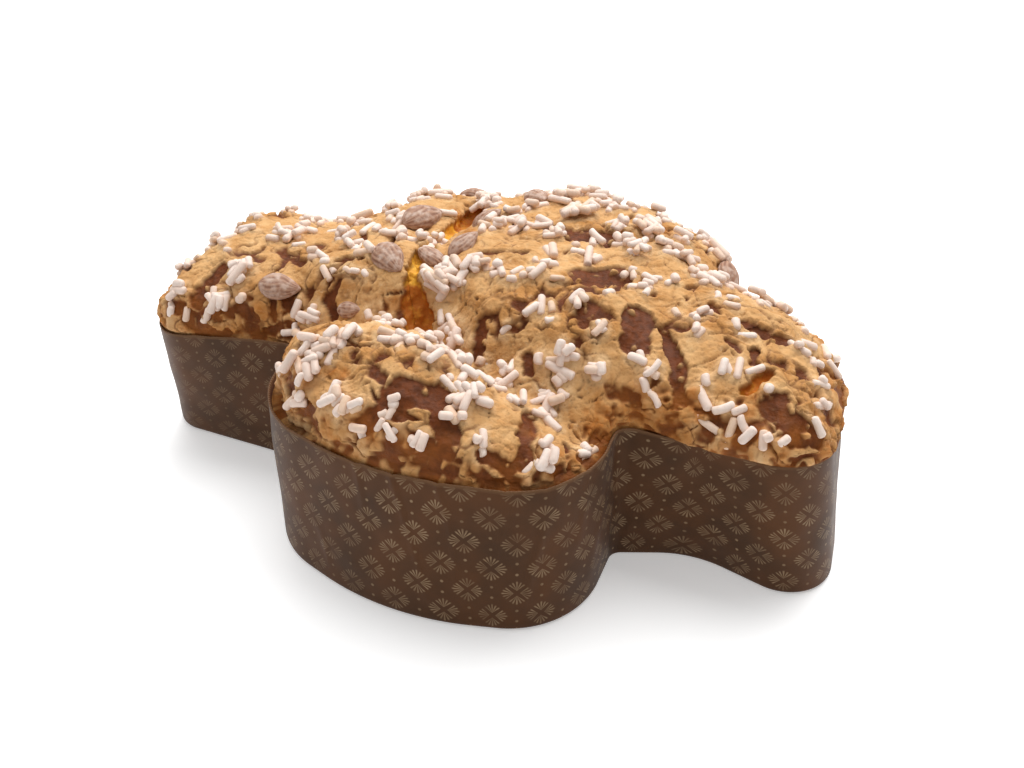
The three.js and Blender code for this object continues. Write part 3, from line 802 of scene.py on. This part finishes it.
def relief(p):
    """Height of the glaze and cracks over the smooth crust, and what shows at each point. The marks'
    edges are made ragged by noise; plates part along the borders of random cells where a slow noise is
    high, and where another is high they break up into tilted flakes; fine cracks wander where a noise
    passes through nought. Near the rim the glaze is thin, crumbly and ambered."""
    ragged = 1.5 * noise(p, 9, 21) + 0.9 * noise(p, 3.4, 22) + 0.5 * noise(p, 1.6, 23)
    bend = np.stack([2.5 * noise(p, 19, seed) + noise(p, 8, seed + 3) for seed in (11, 12, 13)], 1)
    seam, tone, _ = cells(p + 3.0 * bend, PLATE, 31)
    flake_edge, flake_tone, flake_tilt = cells(p + 1.2 * bend + 0.6 * ragged[:, None], FLAKE, 33)
    flaky = step_up(noise(p, 26, 46) + 0.5 * noise(p, 9, 47), 0.15, 0.6)
    gape = 1.5 * step_up(noise(p, 22, 41), 0.2, 0.8) - 0.2
    flake_gape = 1.3 * flaky * step_up(noise(p, 8, 48), 0.0, 0.6) - 0.3
    bare_edge = np.minimum(edge_of(p, bare_marks) + ragged, seam - gape + 0.35 * noise(p, 2, 42))
    bare_edge = np.minimum(bare_edge, flake_edge - flake_gape)
    low = 1 - step_up(quick_look(p[:, :2], COARSE_DEPTH), *BY_RIM)
    bare_edge = np.minimum(bare_edge, 1.6 * noise(p, 8, 67) + 0.9 * noise(p, 3, 68) + 2.6 - 2.45 * low)
    bare_edge = np.maximum(bare_edge, 1.8 * (noise(p, 3.2, 43) - 0.5))
    tear_edge = edge_of(p, tear_marks) + ragged
    glaze = step_up(np.minimum(bare_edge, tear_edge), -0.15, 0.5)
    torn = step_up(-tear_edge, -0.4, 0.8)
    lifted = np.exp(-(((bare_edge - 1.0) / 0.8) ** 2)) * glaze
    line = np.exp(-((seam / 0.26) ** 2)) * step_up(noise(p, 15, 44), 0.1, 0.6)
    hair = np.exp(-((noise(p, 10, 49) / 0.04) ** 2)) * step_up(noise(p, 12, 45), 0.0, 0.4)
    hair = np.maximum(hair, 0.8 * flaky * np.exp(-((flake_edge / 0.28) ** 2)))
    crack = np.maximum(line, 0.75 * hair) * glaze
    height = 0.9 * noise(p, 17, 51) + 0.5 * noise(p, 7, 52) - 0.9
    height += glaze * (GLAZE_THICK + 0.3 * noise(p, 5, 53) + 0.16 * noise(p, 2.1, 54))
    height += 0.5 * lifted - 0.6 * crack
    height += glaze * flaky * (1.0 * flake_tilt + 0.3 * flake_tone + 0.25 * noise(p, 1.7, 61))
    height += glaze * low * 0.9 * (noise(p, 4, 69) + 0.6 * noise(p, 2, 70))
    height += (1 - glaze) * (0.22 * noise(p, 2.6, 55) + 0.14 * noise(p, 1.4, 56))
    height -= torn * (TEAR_DEEP + 1.5 * noise(p, 4.5, 57) + 1.1 * noise(p, 2.2, 58))
    toast = 0.35 * lifted + 0.4 * noise(p, 14, 59) + 0.3 * noise(p, 5, 60) + 0.1 * tone + 0.45 * flaky
    orange = step_up(-edge_of(p, orange_marks) + 1.5 * noise(p, 3, 62), -1, 2)
    amber = step_up(-edge_of(p, amber_marks) + 2.0 * noise(p, 6, 63) + 1.0 * noise(p, 2.5, 64), -1.5, 3)
    amber = np.maximum(amber, np.clip(low * (0.5 + 0.9 * noise(p, 7, 71)), 0, 1))
    shown = {"bare": 1 - glaze, "torn": torn, "crack": crack, "toast": np.clip(0.15 + toast, 0, 1)}
    return height, shown | {"orange": orange, "amber": amber}


def crust_piece(name, base, out, faces, share, sink, rim):
    """A piece of crust: smooth points moved out along their normals by a share of the relief, less a
    sink, with what shows painted on; `rim` is 1 where the crust meets the paper, where it is ambered as
    browning and as painted shade in that crease. The glaze swells and pales round sugar."""
    height, shown = relief(base)
    near = quick_look(base[:, :2], sugar_distance)
    height = height + SWELL * (1 - step_up(near, 1.0, 3.2))
    points = base + (height * share - sink)[:, None] * out
    piece = new_piece(name, points, faces, crust_material, ["cake"])
    shown["pale"] = (1 - step_up(near + 0.8 * noise(base, 3, 66), 1.4, 4.0)) * (1 - shown["bare"])
    # Painted shade in part: the band against the paper is ambered and darker, baked colour and the shade of
    # the crease together.
    shown["amber"] = np.maximum(shown["amber"], rim * np.clip(0.75 + 0.6 * noise(base, 6, 65), 0, 1))
    for key, values in shown.items():
        paint(piece, key, values)


GLAZE_LIGHT = (0.67, 0.405, 0.18, 1)
GLAZE_TOASTED = (0.52, 0.245, 0.075, 1)
GLAZE_SPECK = (0.30, 0.12, 0.035, 1)
CRUST_BROWN = (0.165, 0.042, 0.009, 1)
CRUST_DARK = (0.095, 0.025, 0.006, 1)
CRUST_AMBER = (0.42, 0.135, 0.018, 1)
CRUMB_YELLOW = (0.85, 0.44, 0.05, 1)
CRUMB_ORANGE = (0.50, 0.15, 0.018, 1)
CRACK_BROWN = (0.17, 0.065, 0.024, 1)
GLAZE_PALE = (0.76, 0.53, 0.30, 1)


def crust_finish():
    """Matt tan glaze, mottled and specked, over satin brown crust, ambered in places, with yellow to
    orange crumb in the tears."""
    f = Finish("crust_and_glaze", Specular_IOR_Level=0.15)
    glaze = f.mix(f.painted("toast"), GLAZE_LIGHT, GLAZE_TOASTED)
    glaze = f.mix(f.times(f.painted("pale"), 0.5), glaze, GLAZE_PALE)
    glaze = f.mix(f.between(f.noise(1.1, 4), 0.62, 0.72, 0, 0.55), glaze, GLAZE_SPECK)
    glaze = f.mix(f.between(f.noise(5, 5, 0.65), 0.5, 0.7, 0, 0.6), glaze, GLAZE_TOASTED)
    glaze = f.mix(f.between(f.noise(3.1, 5, 0.7), 0.42, 0.3, 0, 0.4), glaze, GLAZE_PALE)
    brown = f.mix(f.between(f.noise(2.6, 4), 0.35, 0.65), CRUST_BROWN, CRUST_DARK)
    ambered = f.mix(f.between(f.noise(3.4, 3), 0.35, 0.65), CRUST_AMBER, GLAZE_TOASTED)
    glaze = f.mix(f.times(f.painted("amber"), 0.85), glaze, ambered)
    brown = f.mix(f.times(f.painted("amber"), 0.45), brown, CRUST_AMBER)
    glaze = f.mix(f.between(f.painted("crack"), 0.1, 0.8, 0, 0.85), glaze, CRACK_BROWN)
    crumb = f.plus(f.between(f.noise(3.2, 4), 0.4, 0.6, -0.25, 0.35), f.painted("orange"))
    crumb = f.mix(crumb, CRUMB_YELLOW, CRUMB_ORANGE)
    colour = f.mix(f.painted("bare"), glaze, brown)
    colour = f.mix(f.painted("torn"), colour, crumb)
    rough = f.between(f.painted("bare"), 0, 1, 0.72, 0.5)
    crumbly = f.times(f.noise(1.3, 5, 0.7), f.between(f.painted("toast"), 0.2, 0.8, 0.5, 1.3))
    height = f.plus(crumbly, f.times(f.noise(2.6, 3), 0.8))
    return f.set(Base_Color=colour, Roughness=rough, Normal=f.bump(height, 0.6, 0.9))


crust_material = crust_finish()


def top_of_loaf():
    """The level part: a square grid over the plan, kept where it is well inside the rim, on the crust."""
    spans_xy = [np.arange(low, high, CELL) for low, high in zip(RIM_LINE.min(0), RIM_LINE.max(0))]
    shape = tuple(len(s) for s in spans_xy)
    plan = np.stack(np.meshgrid(*spans_xy, indexing="ij"), -1).reshape(-1, 2)
    depth = rolled_in(plan)
    height = crust_height(plan, depth).reshape(shape)
    slope_x, slope_y = np.gradient(height, CELL)
    out = unit(np.stack([-slope_x, -slope_y, np.ones(shape)], -1)).reshape(-1, 3)
    base = np.concatenate([plan, height.reshape(-1, 1)], 1)
    kept = (depth > PATCH).reshape(shape)
    number = np.arange(len(plan)).reshape(shape)
    whole = kept[:-1, :-1] & kept[1:, :-1] & kept[1:, 1:] & kept[:-1, 1:]
    quads = np.stack([number[:-1, :-1], number[1:, :-1], number[1:, 1:], number[:-1, 1:]], -1)[whole]
    sink = SINK * (1 - step_up(depth, PATCH, BAND))
    for name, part in {"head": plan[quads[:, 0], 0] < 0, "tail": plan[quads[:, 0], 0] >= 0}.items():
        used, faces = np.unique(quads[part], return_inverse=True)
        faces = faces.reshape(-1, 4)
        crust_piece(f"crust_top_{name}", base[used], out[used], faces, 1.0, sink[used], np.zeros(len(used)))


TUCKED_IN = (0.9, 0.95, 0.985, 1)  # shares of the wall's height of the rings inside it
LOOSE_FROM, LOOSE_TO = 3, 9  # rings between which the relief sets in
BROWNED_AND_SHADED = 3.2  # how far up from the paper the crust is browner, partly baked colour and partly painted shade in the crease


def side_of_loaf():
    """The rolled edge: rings from inside the wall, over the rim and up the quarter round, evenly spaced
    along it."""
    rim, spill = outline(1, CELL, BAND)
    foot, _ = outline(0, CELL, BAND)
    way_in = inward(rim)
    height = np.sqrt(WALL**2 - ((rim - foot) ** 2).sum(1))
    columns = len(rim)
    inset = PAPER + GAP
    drop = DROP * np.maximum(0, -spill - GAPING)
    rings = []
    for share in TUCKED_IN:
        plan = foot + share * (rim - foot) + inset * way_in
        rings.append(np.concatenate([plan, (share * height - drop + GAP * (share == 1))[:, None]], 1))
    last = math.acos(1 - BAND / ROLL)
    for angle in np.linspace(0, last, int(last * ROLL / CELL)):
        depth = ROLL * (1 - math.cos(angle))
        plan = rim + (depth - spill * math.exp(-depth / TUCK))[:, None] * way_in
        z = crust_height(plan, np.full(columns, depth)) + (GAP + LIP) * math.exp(-depth)
        rings.append(np.concatenate([plan, z[:, None]], 1))
    grid = np.stack(rings)
    along = np.roll(grid, -1, 1) - np.roll(grid, 1, 1)
    up = np.gradient(grid, axis=0)
    out = unit(np.cross(along, up))
    quads = grid_quads(len(rings), columns, True)
    middle = grid.reshape(-1, 3)[quads[:, 0]]
    number = np.arange(len(rings))
    loose = np.repeat(step_up(number, LOOSE_FROM, LOOSE_TO), columns)
    # Painted shade in part: the crust is browner in a band next to the paper.
    browned_and_shaded = np.repeat(np.exp(-((number * CELL / BROWNED_AND_SHADED) ** 2)), columns)
    for name, part in {"near": middle[:, 1] < 0, "far": middle[:, 1] >= 0}.items():
        used, faces = np.unique(quads[part], return_inverse=True)
        base, way = grid.reshape(-1, 3)[used], out.reshape(-1, 3)[used]
        crust_piece(f"crust_side_{name}", base, way, faces.reshape(-1, 4), loose[used], 0.0, browned_and_shaded[used])


# ---------------------------------------------------------------- almonds
# Whole almonds in their skins, pressed into the glaze before baking: pointed ovals, wrinkled lengthwise,
# dusted with dried glaze.

ALMOND = (18, 11.5, 8)  # length, width, thickness
SUNK = 0.35  # share of the thickness that is in the crust
SKIN_ROWS, SKIN_COLUMNS = 46, 72
FURROWS = 15
FURROW_DEEP = 0.035  # beside the radius
ALMONDS = [  # x, y, turn in degrees, size beside the usual one
    (-77.5, -26, 16, 0.9),
    (-39, -9.5, -36, 1),
    (-26, 0.5, 6, 0.84),
    (-17.5, 10, 56, 0.82),
    (-45, 30, 66, 1.1),
    (-21.5, 42, 42, 0.78),
    (75, 50, -55, 1),
    (-48, -26, 12, 0.55),
    (-8.5, 63.5, -44, 0.85),
    (32, 89, -14, 0.95),
    (-42, 78.5, 24, 0.95),
]
ALMOND_SKIN = (0.44, 0.255, 0.17, 1)
ALMOND_FURROW = (0.24, 0.115, 0.07, 1)
ALMOND_DUST = (0.62, 0.47, 0.385, 1)


def almond_finish():
    """Pale brown skin, darker in the furrows that run lengthwise, with a floury bloom."""
    f = Finish("almond_skin", Roughness=0.66, Specular_IOR_Level=0.3)
    colour = f.mix(f.painted("furrow"), ALMOND_SKIN, ALMOND_FURROW)
    colour = f.mix(f.between(f.noise(2.6, 4), 0.42, 0.66, 0, 0.75), colour, ALMOND_DUST)
    return f.set(Base_Color=colour, Normal=f.bump(f.noise(0.5, 4), 0.2, 0.6))


almond_material = almond_finish()


def almond(number, x, y, turn, size):
    """A lathed oval, pointed at one end, flattened and laid on the crust: its radius is a sine of the
    length with furrows along it that wander as they go."""
    length, width, thickness = np.array(ALMOND) * size
    s = (1 - np.cos(np.linspace(0, np.pi, SKIN_ROWS))) / 2
    a = np.linspace(0, 2 * np.pi, SKIN_COLUMNS, endpoint=False)
    s, a = np.meshgrid(s, a, indexing="ij")
    way = np.stack([3.5 * s, np.cos(a) * 1.6, np.sin(a) * 1.6], -1).reshape(-1, 3)
    wander = noise(way, 1.3, 70 + number).reshape(s.shape)
    depth = np.clip(0.6 + 0.8 * noise(way, 0.8, 90 + number).reshape(s.shape), 0, 1)
    furrow = np.cos(FURROWS * a + 5 * wander) * depth
    radius = np.sin(np.pi * s**0.8) ** 0.75
    radius = radius * (1 + FURROW_DEEP * furrow * np.sin(np.pi * s) + 0.03 * wander)
    across, upward = radius * np.cos(a) * width / 2, radius * np.sin(a) * thickness / 2
    shape = np.stack([(s - 0.5) * length, across, upward], -1).reshape(-1, 3)
    middle, up = (v[0] for v in on_crust(np.array([(x, y)], float)))
    tilt = Vector((0, 0, 1)).rotation_difference(Vector(up)).to_matrix()
    c, d = math.cos(math.radians(turn)), math.sin(math.radians(turn))
    axes = np.array(tilt) @ np.array([[c, -d, 0], [d, c, 0], [0, 0, 1]])
    points = shape @ axes.T + middle + up * thickness * (0.5 - SUNK)
    quads = grid_quads(*s.shape, True)[:, ::-1]
    name = f"almond_{number:02d}"
    piece = new_piece(f"skin_{name}", points, quads, almond_material, [name])
    paint(piece, "furrow", np.clip(0.5 - 0.9 * furrow, 0, 1).ravel())


for number, values in enumerate(ALMONDS, 1):
    almond(number, *values)

# ---------------------------------------------------------------- pearl sugar
# Short rods of pressed sugar, strewn on the wet glaze and baked in. They are matt white, a little rosy,
# with rounded or broken ends, and lie in clumps where the glaze ran together.

ROD_RADIUS = 1.5
ROD_SIDES = 10
ROD_LENGTH = 5.7  # the usual one
ROD_SHORTEST, ROD_LONGEST = 3.2, 11
SHY = 2.2  # how far in from the rim rods keep
TOUCH = 0.52  # how near two rods' middles may come, beside their radii
SHOVES = 40  # rounds of shoving rods apart
NUT_ROOM = 7.0  # how far from an almond's middle rods keep
SEAT = 0.35  # a rod's axis lies this share of its radius over the glaze
ON_TOP = 0.66  # rods nearer than this beside their radii lie on each other
HIGHEST = 3.2  # and never higher than this
# Clumps: pixel across, pixel down, half-width in pixels, number of rods.
CLUMPS = [
    # near wing
    (312, 350, 12, 5), (335, 345, 12, 7), (318, 368, 11, 5), (300, 366, 8, 3), (350, 336, 8, 3),
    (385, 340, 8, 3), (405, 347, 10, 7), (428, 356, 10, 7), (452, 363, 9, 3), (275, 395, 10, 5),
    (303, 395, 7, 3), (298, 420, 9, 5), (288, 412, 7, 3), (310, 385, 6, 1), (335, 395, 9, 5),
    (350, 408, 10, 5), (330, 432, 9, 5), (346, 440, 8, 3), (338, 452, 7, 3), (390, 403, 7, 2),
    (388, 413, 6, 2), (380, 422, 6, 1), (362, 428, 6, 2), (392, 438, 7, 2), (416, 441, 6, 3),
    (378, 464, 7, 3), (388, 472, 5, 1), (452, 385, 8, 2), (462, 398, 10, 7), (480, 402, 10, 3),
    (456, 416, 8, 3), (466, 378, 6, 2), (502, 393, 6, 1), (515, 403, 7, 3), (484, 443, 8, 3),
    (543, 445, 6, 2), (545, 462, 7, 3), (541, 478, 6, 2), (584, 452, 6, 3), (580, 468, 5, 2),
    (527, 470, 3, 1), (462, 483, 6, 2), (543, 420, 6, 2), (280, 418, 6, 1),
    # body
    (433, 280, 8, 6), (450, 270, 9, 6), (440, 292, 8, 3), (462, 283, 8, 4), (478, 268, 9, 6),
    (492, 269, 9, 4), (500, 276, 5, 3), (518, 272, 5, 1), (530, 275, 8, 3), (514, 282, 4, 1),
    (540, 267, 10, 3), (552, 279, 6, 1), (578, 303, 6, 3), (446, 322, 6, 2), (459, 332, 7, 3),
    (463, 342, 4, 3), (529, 313, 4, 1), (548, 306, 7, 2), (551, 322, 3, 1), (599, 328, 3, 2),
    (508, 328, 3, 1), (485, 361, 7, 2), (509, 374, 7, 3), (540, 358, 7, 1), (566, 360, 8, 2),
    (558, 376, 8, 3), (590, 372, 8, 3), (636, 357, 3, 1), (654, 371, 3, 2), (565, 392, 5, 1),
    (545, 393, 3, 2), (548, 407, 8, 3), (560, 398, 7, 1), (572, 352, 6, 3),
    # crown
    (500, 222, 9, 5), (516, 218, 8, 3), (488, 231, 8, 5), (520, 231, 8, 5), (540, 228, 9, 5),
    (555, 236, 8, 5), (533, 211, 6, 5), (562, 203, 10, 8), (582, 213, 9, 8), (600, 205, 9, 5),
    (590, 196, 8, 5), (612, 208, 9, 8), (630, 210, 8, 3), (618, 226, 8, 5), (640, 230, 9, 8),
    (650, 239, 6, 5), (620, 247, 9, 5), (638, 253, 9, 8), (575, 250, 6, 2), (590, 243, 6, 3),
    (548, 255, 3, 2), (592, 262, 5, 3), (668, 222, 8, 5), (632, 277, 7, 3), (642, 290, 8, 5),
    (653, 281, 6, 2), (605, 297, 7, 1), (672, 286, 5, 2), (678, 314, 5, 1), (694, 322, 6, 2),
    (670, 252, 9, 8), (686, 262, 9, 5), (692, 275, 6, 3), (682, 243, 6, 3), (655, 212, 6, 2),
    (570, 222, 5, 3),
    # tail
    (700, 272, 6, 1), (707, 284, 5, 2), (716, 295, 5, 1), (729, 299, 4, 1), (735, 308, 6, 1),
    (757, 305, 7, 2), (705, 320, 6, 2), (699, 333, 7, 2), (731, 322, 7, 1), (745, 337, 3, 1),
    (760, 373, 5, 1), (795, 350, 4, 2), (812, 365, 5, 2), (832, 370, 4, 1), (807, 347, 5, 1),
    (803, 332, 4, 1), (725, 368, 5, 2), (736, 370, 3, 1), (703, 395, 6, 1), (705, 381, 3, 1),
    (722, 410, 4, 1), (736, 412, 5, 1), (704, 420, 7, 1), (715, 432, 7, 2), (731, 432, 5, 2),
    (750, 430, 7, 2), (774, 390, 6, 1), (767, 437, 5, 2), (784, 444, 5, 1), (736, 450, 4, 1),
    (740, 466, 4, 1), (818, 388, 6, 2), (820, 405, 6, 2), (815, 426, 5, 1), (843, 413, 5, 2),
    (637, 359, 3, 1), (655, 398, 4, 1), (603, 367, 4, 1), (645, 387, 3, 1), (800, 322, 5, 1),
    (823, 352, 4, 1),
    # head
    (180, 292, 7, 3), (172, 310, 6, 2), (184, 318, 5, 1), (215, 300, 7, 4), (205, 316, 6, 3),
    (226, 308, 5, 2), (235, 270, 8, 3), (248, 268, 6, 3), (240, 283, 5, 3), (229, 253, 4, 1),
    (212, 245, 5, 3), (240, 234, 8, 1), (252, 231, 5, 4), (243, 298, 3, 2), (275, 241, 5, 1),
    (282, 233, 5, 3), (291, 239, 8, 4), (303, 234, 8, 4), (302, 248, 5, 1), (325, 222, 9, 3),
    (340, 224, 6, 5), (316, 258, 6, 3), (325, 266, 6, 1), (330, 273, 4, 2), (340, 240, 9, 6),
    (356, 246, 9, 5), (367, 255, 6, 2), (352, 275, 7, 2), (370, 277, 5, 1), (345, 290, 5, 2),
    (358, 287, 3, 1), (369, 312, 4, 2), (372, 264, 5, 1), (373, 232, 6, 3), (395, 222, 9, 6),
    (400, 236, 9, 5), (385, 238, 5, 2), (425, 226, 9, 6), (440, 235, 9, 5), (430, 241, 6, 3),
    (292, 308, 6, 3), (300, 320, 5, 1), (316, 312, 6, 3), (387, 320, 4, 2), (401, 327, 4, 1),
    (190, 262, 5, 3), (300, 330, 7, 3),
]  # fmt: skip
HIDDEN_CLUMPS = 100
SUGAR_WHITE = (0.83, 0.70, 0.62, 1)
SUGAR_ROSY = (0.74, 0.52, 0.40, 1)
SUGAR_GLAZED = (0.70, 0.45, 0.24, 1)


def strewn():
    """Middles on the crust for all rods: for each clump, its rods are drawn round its middle on the
    crust. Hidden sides get clumps at random."""
    draw = np.random.default_rng(11)
    clumps = np.array(CLUMPS, float)
    middle, pixel = seen_at(clumps[:, :2])
    spread, count = clumps[:, 2] * pixel, clumps[:, 3].astype(int)
    plan = draw.uniform(RIM_LINE.min(0), RIM_LINE.max(0), (4000, 2))
    at, up = on_crust(plan)
    hidden = (quick_look(plan, COARSE_DEPTH) > SHY) & (((EYE + MIDDLE - at) * up).sum(1) < 70)
    at = at[hidden][:HIDDEN_CLUMPS]
    middle = np.concatenate([middle, at])
    spread = np.append(spread, draw.uniform(2, 6, len(at)))
    count = np.append(count, draw.integers(1, 6, len(at)))
    owner = np.repeat(np.arange(len(middle)), count)
    _, out = on_crust(middle[:, :2])
    side = unit(np.cross(out, (1.0, 0, 0)))
    fore = np.cross(side, out)
    around = draw.uniform(0, 2 * np.pi, (len(owner), 1))
    reach = (spread[owner] * np.sqrt(draw.uniform(0, 1, len(owner))))[:, None]
    place = middle[owner] + reach * (np.cos(around) * fore[owner] + np.sin(around) * side[owner])
    return place[quick_look(place[:, :2], COARSE_DEPTH) > SHY], draw


def pushed_apart(place, axis, half, radius):
    """Rods shoved along the crust until they hardly overlap. Each is seen as three balls, at its ends and
    middle; balls that overlap push each other away, which moves and turns their rods, and the crust keeps
    them on it."""
    lever = np.stack([-half, 0 * half, half], 1)
    for turn in range(SHOVES):
        place, out = on_crust(place[:, :2])
        axis = unit(axis - (axis * out).sum(1, keepdims=True) * out)
        if turn % 10 == 0:
            i, j = np.nonzero(np.triu(np.linalg.norm(place[:, None] - place[None], axis=2) < 15, 1))
        balls = place[:, None] + lever[..., None] * axis[:, None]
        apart = balls[i][:, :, None] - balls[j][:, None]
        distance = np.linalg.norm(apart, axis=-1) + 1e-6
        overlap = np.clip(TOUCH * (radius[i] + radius[j])[:, None, None] - distance, 0, None)
        push = (overlap / distance)[..., None] * apart * 0.22
        moved = place.copy()
        for k, force in ((i, push.sum(2)), (j, -push.sum(1))):
            np.add.at(moved, k, force.sum(1) / 1.5)
            np.add.at(axis, k, (force * lever[k][..., None]).sum(1) / (half[k] ** 2 + 4)[:, None])
        stays = quick_look(moved[:, :2], COARSE_DEPTH) > SHY
        place = np.where(stays[:, None], moved, place)
    return place[:, :2], axis


def laid_rods():
    """Where each rod lies on the plan, its way along, length and radius, and the draw that made them."""
    place, draw = strewn()
    count = len(place)
    length = np.clip(draw.lognormal(math.log(ROD_LENGTH), 0.34, count), ROD_SHORTEST, ROD_LONGEST)
    radius = ROD_RADIUS * draw.uniform(0.82, 1.12, count)
    _, out = on_crust(place[:, :2])
    axis = unit(np.cross(out, draw.normal(size=(count, 3))))
    plan, axis = pushed_apart(place, axis, length / 2 - radius, radius)
    nut = np.array([a[:2] for a in ALMONDS])
    free = (np.linalg.norm(plan[:, None] - nut[None], axis=2) > NUT_ROOM).all(1)
    return plan[free], axis[free], length[free], radius[free], draw


NEAR = 6  # distances to sugar are worked out up to this


def near_sugar():
    """Distance from each millimetre of the plan to the nearest rod, up to NEAR: the least of the
    distances to the ends and middles of the rods, each written to the squares round it."""
    plan, axis, length, radius, _ = rods
    table = np.full(COUNTS, float(NEAR))
    around = np.arange(-NEAR, NEAR + 1)
    steps = np.stack(np.meshgrid(around, around, indexing="ij"), -1).reshape(-1, 2)
    reach = np.array([-1, 0, 1])[None, :, None] * ((length / 2 - radius)[:, None] * axis[:, :2])[:, None]
    spots = ((plan[:, None] + reach).reshape(-1, 2) - LOW_CORNER) / COARSE
    cell = np.rint(spots)[:, None] + steps
    distance = np.linalg.norm(cell - spots[:, None], axis=-1) * COARSE
    i, j = np.moveaxis(np.clip(cell, 0, COUNTS - 1).astype(int), -1, 0)
    np.minimum.at(table, (i, j), distance)
    return table


def piled(rest, axis, half, radius):
    """How far each rod is lifted: a rod that still crosses an earlier one, by the distances between the
    ends and middles of both, lies on the highest such rod."""
    spots = rest[:, None] + np.array([-0.8, 0, 0.8])[None, :, None] * (half[:, None] * axis)[:, None]
    lift = np.zeros(len(rest))
    for k in range(1, len(rest)):
        gap = np.linalg.norm(spots[:k, :, None] - spots[k][None, None], axis=-1).min((1, 2))
        crossing = gap < ON_TOP * (radius[:k] + radius[k])
        if crossing.any():
            lift[k] = min(lift[:k][crossing].max() + 0.9 * radius[k], HIGHEST)
    return lift


# Rings of half a rod: which end it counts from, how far on from the cap's start, and share of the radius.
CAP = [(-1, -1.0, 0.0), (-1, -0.9, 0.5), (-1, -0.6, 0.82), (-1, -0.2, 0.98), (-0.3, 0, 1.0)]
STATIONS = CAP + [(-end, -on, share) for end, on, share in CAP[::-1]]


def pearl_sugar():
    """All rods as one mesh: each is a tube round a gently bent axis whose radius rounds off at both ends
    and is a little uneven, its points worked out together from arrays of middles, axes and lengths."""
    plan, axis, length, radius, draw = rods
    count = len(plan)
    base, out = on_crust(plan)
    axis = unit(axis + out * draw.normal(0, 0.10, (count, 1)))
    height, _ = relief(base)
    rest = base + (height + SEAT * radius)[:, None] * out
    middle = rest + piled(rest, axis, length / 2 - radius, radius)[:, None] * out
    side = unit(np.cross(axis, out))
    top = np.cross(side, axis)
    blunt = draw.uniform(0.45, 0.95, (2, count))
    turn = np.linspace(0, 2 * np.pi, ROD_SIDES, endpoint=False)
    uneven = 1 + 0.06 * np.sin(2 * turn + 6 * draw.uniform(size=(count, 1)))
    swing = np.cos(turn)[None, :, None] * side[:, None] + np.sin(turn)[None, :, None] * top[:, None]
    bow = draw.normal(0, 0.3, count)
    rings = []
    for end, on, share in STATIONS:
        cut = blunt[0] if end < 0 else blunt[1]
        along = end * (length / 2 - radius * cut) + on * radius * cut
        ring = middle + along[:, None] * axis + (bow * (1 - (2 * along / length) ** 2))[:, None] * side
        rings.append(ring[:, None] + (share * radius[:, None] * uneven)[..., None] * swing)
    points = np.stack(rings, 1)  # rod, station, side
    each = len(STATIONS) * ROD_SIDES
    quads = grid_quads(len(STATIONS), ROD_SIDES, True)
    faces = (quads[None] + (np.arange(count) * each)[:, None, None]).reshape(-1, 4)
    piece = new_piece("pearl_sugar", points.reshape(-1, 3), faces, sugar_finish(), ["cake"])
    paint(piece, "tone", np.repeat(draw.uniform(0, 1, count), each))
    above = ((points - rest[:, None, None]) * out[:, None, None]).sum(-1)
    paint(piece, "glazed", np.clip(0.9 - above / 2.2, 0, 1).ravel())


def sugar_finish():
    """Chalky white with a rosy tint that differs from rod to rod, stained by glaze low down and on some
    rods."""
    f = Finish("pearl_sugar", Roughness=0.62, Specular_IOR_Level=0.35)
    tone = f.painted("tone")
    colour = f.mix(f.between(tone, 0.1, 1.2, 0, 0.75), SUGAR_WHITE, SUGAR_ROSY)
    colour = f.mix(f.between(f.noise(1.6, 3), 0.45, 0.7, 0, 0.35), colour, SUGAR_ROSY)
    stain = f.plus(f.between(f.painted("glazed"), 0.3, 1.0, 0, 0.55), f.between(tone, 0.78, 0.95, 0, 0.45))
    stain = f.times(stain, f.between(f.noise(2.2, 2), 0.3, 0.6, 0.35, 1))
    colour = f.mix(stain, colour, SUGAR_GLAZED)
    return f.set(Base_Color=colour, Normal=f.bump(f.noise(0.55, 3), 0.22, 0.7))


rods = laid_rods()
pearl_sugar()

# ---------------------------------------------------------------- crust and glaze, laid
# The crust is drawn last, because the glaze swells and pales round the sugar that sank into it.

sugar_distance = near_sugar()
top_of_loaf()
side_of_loaf()
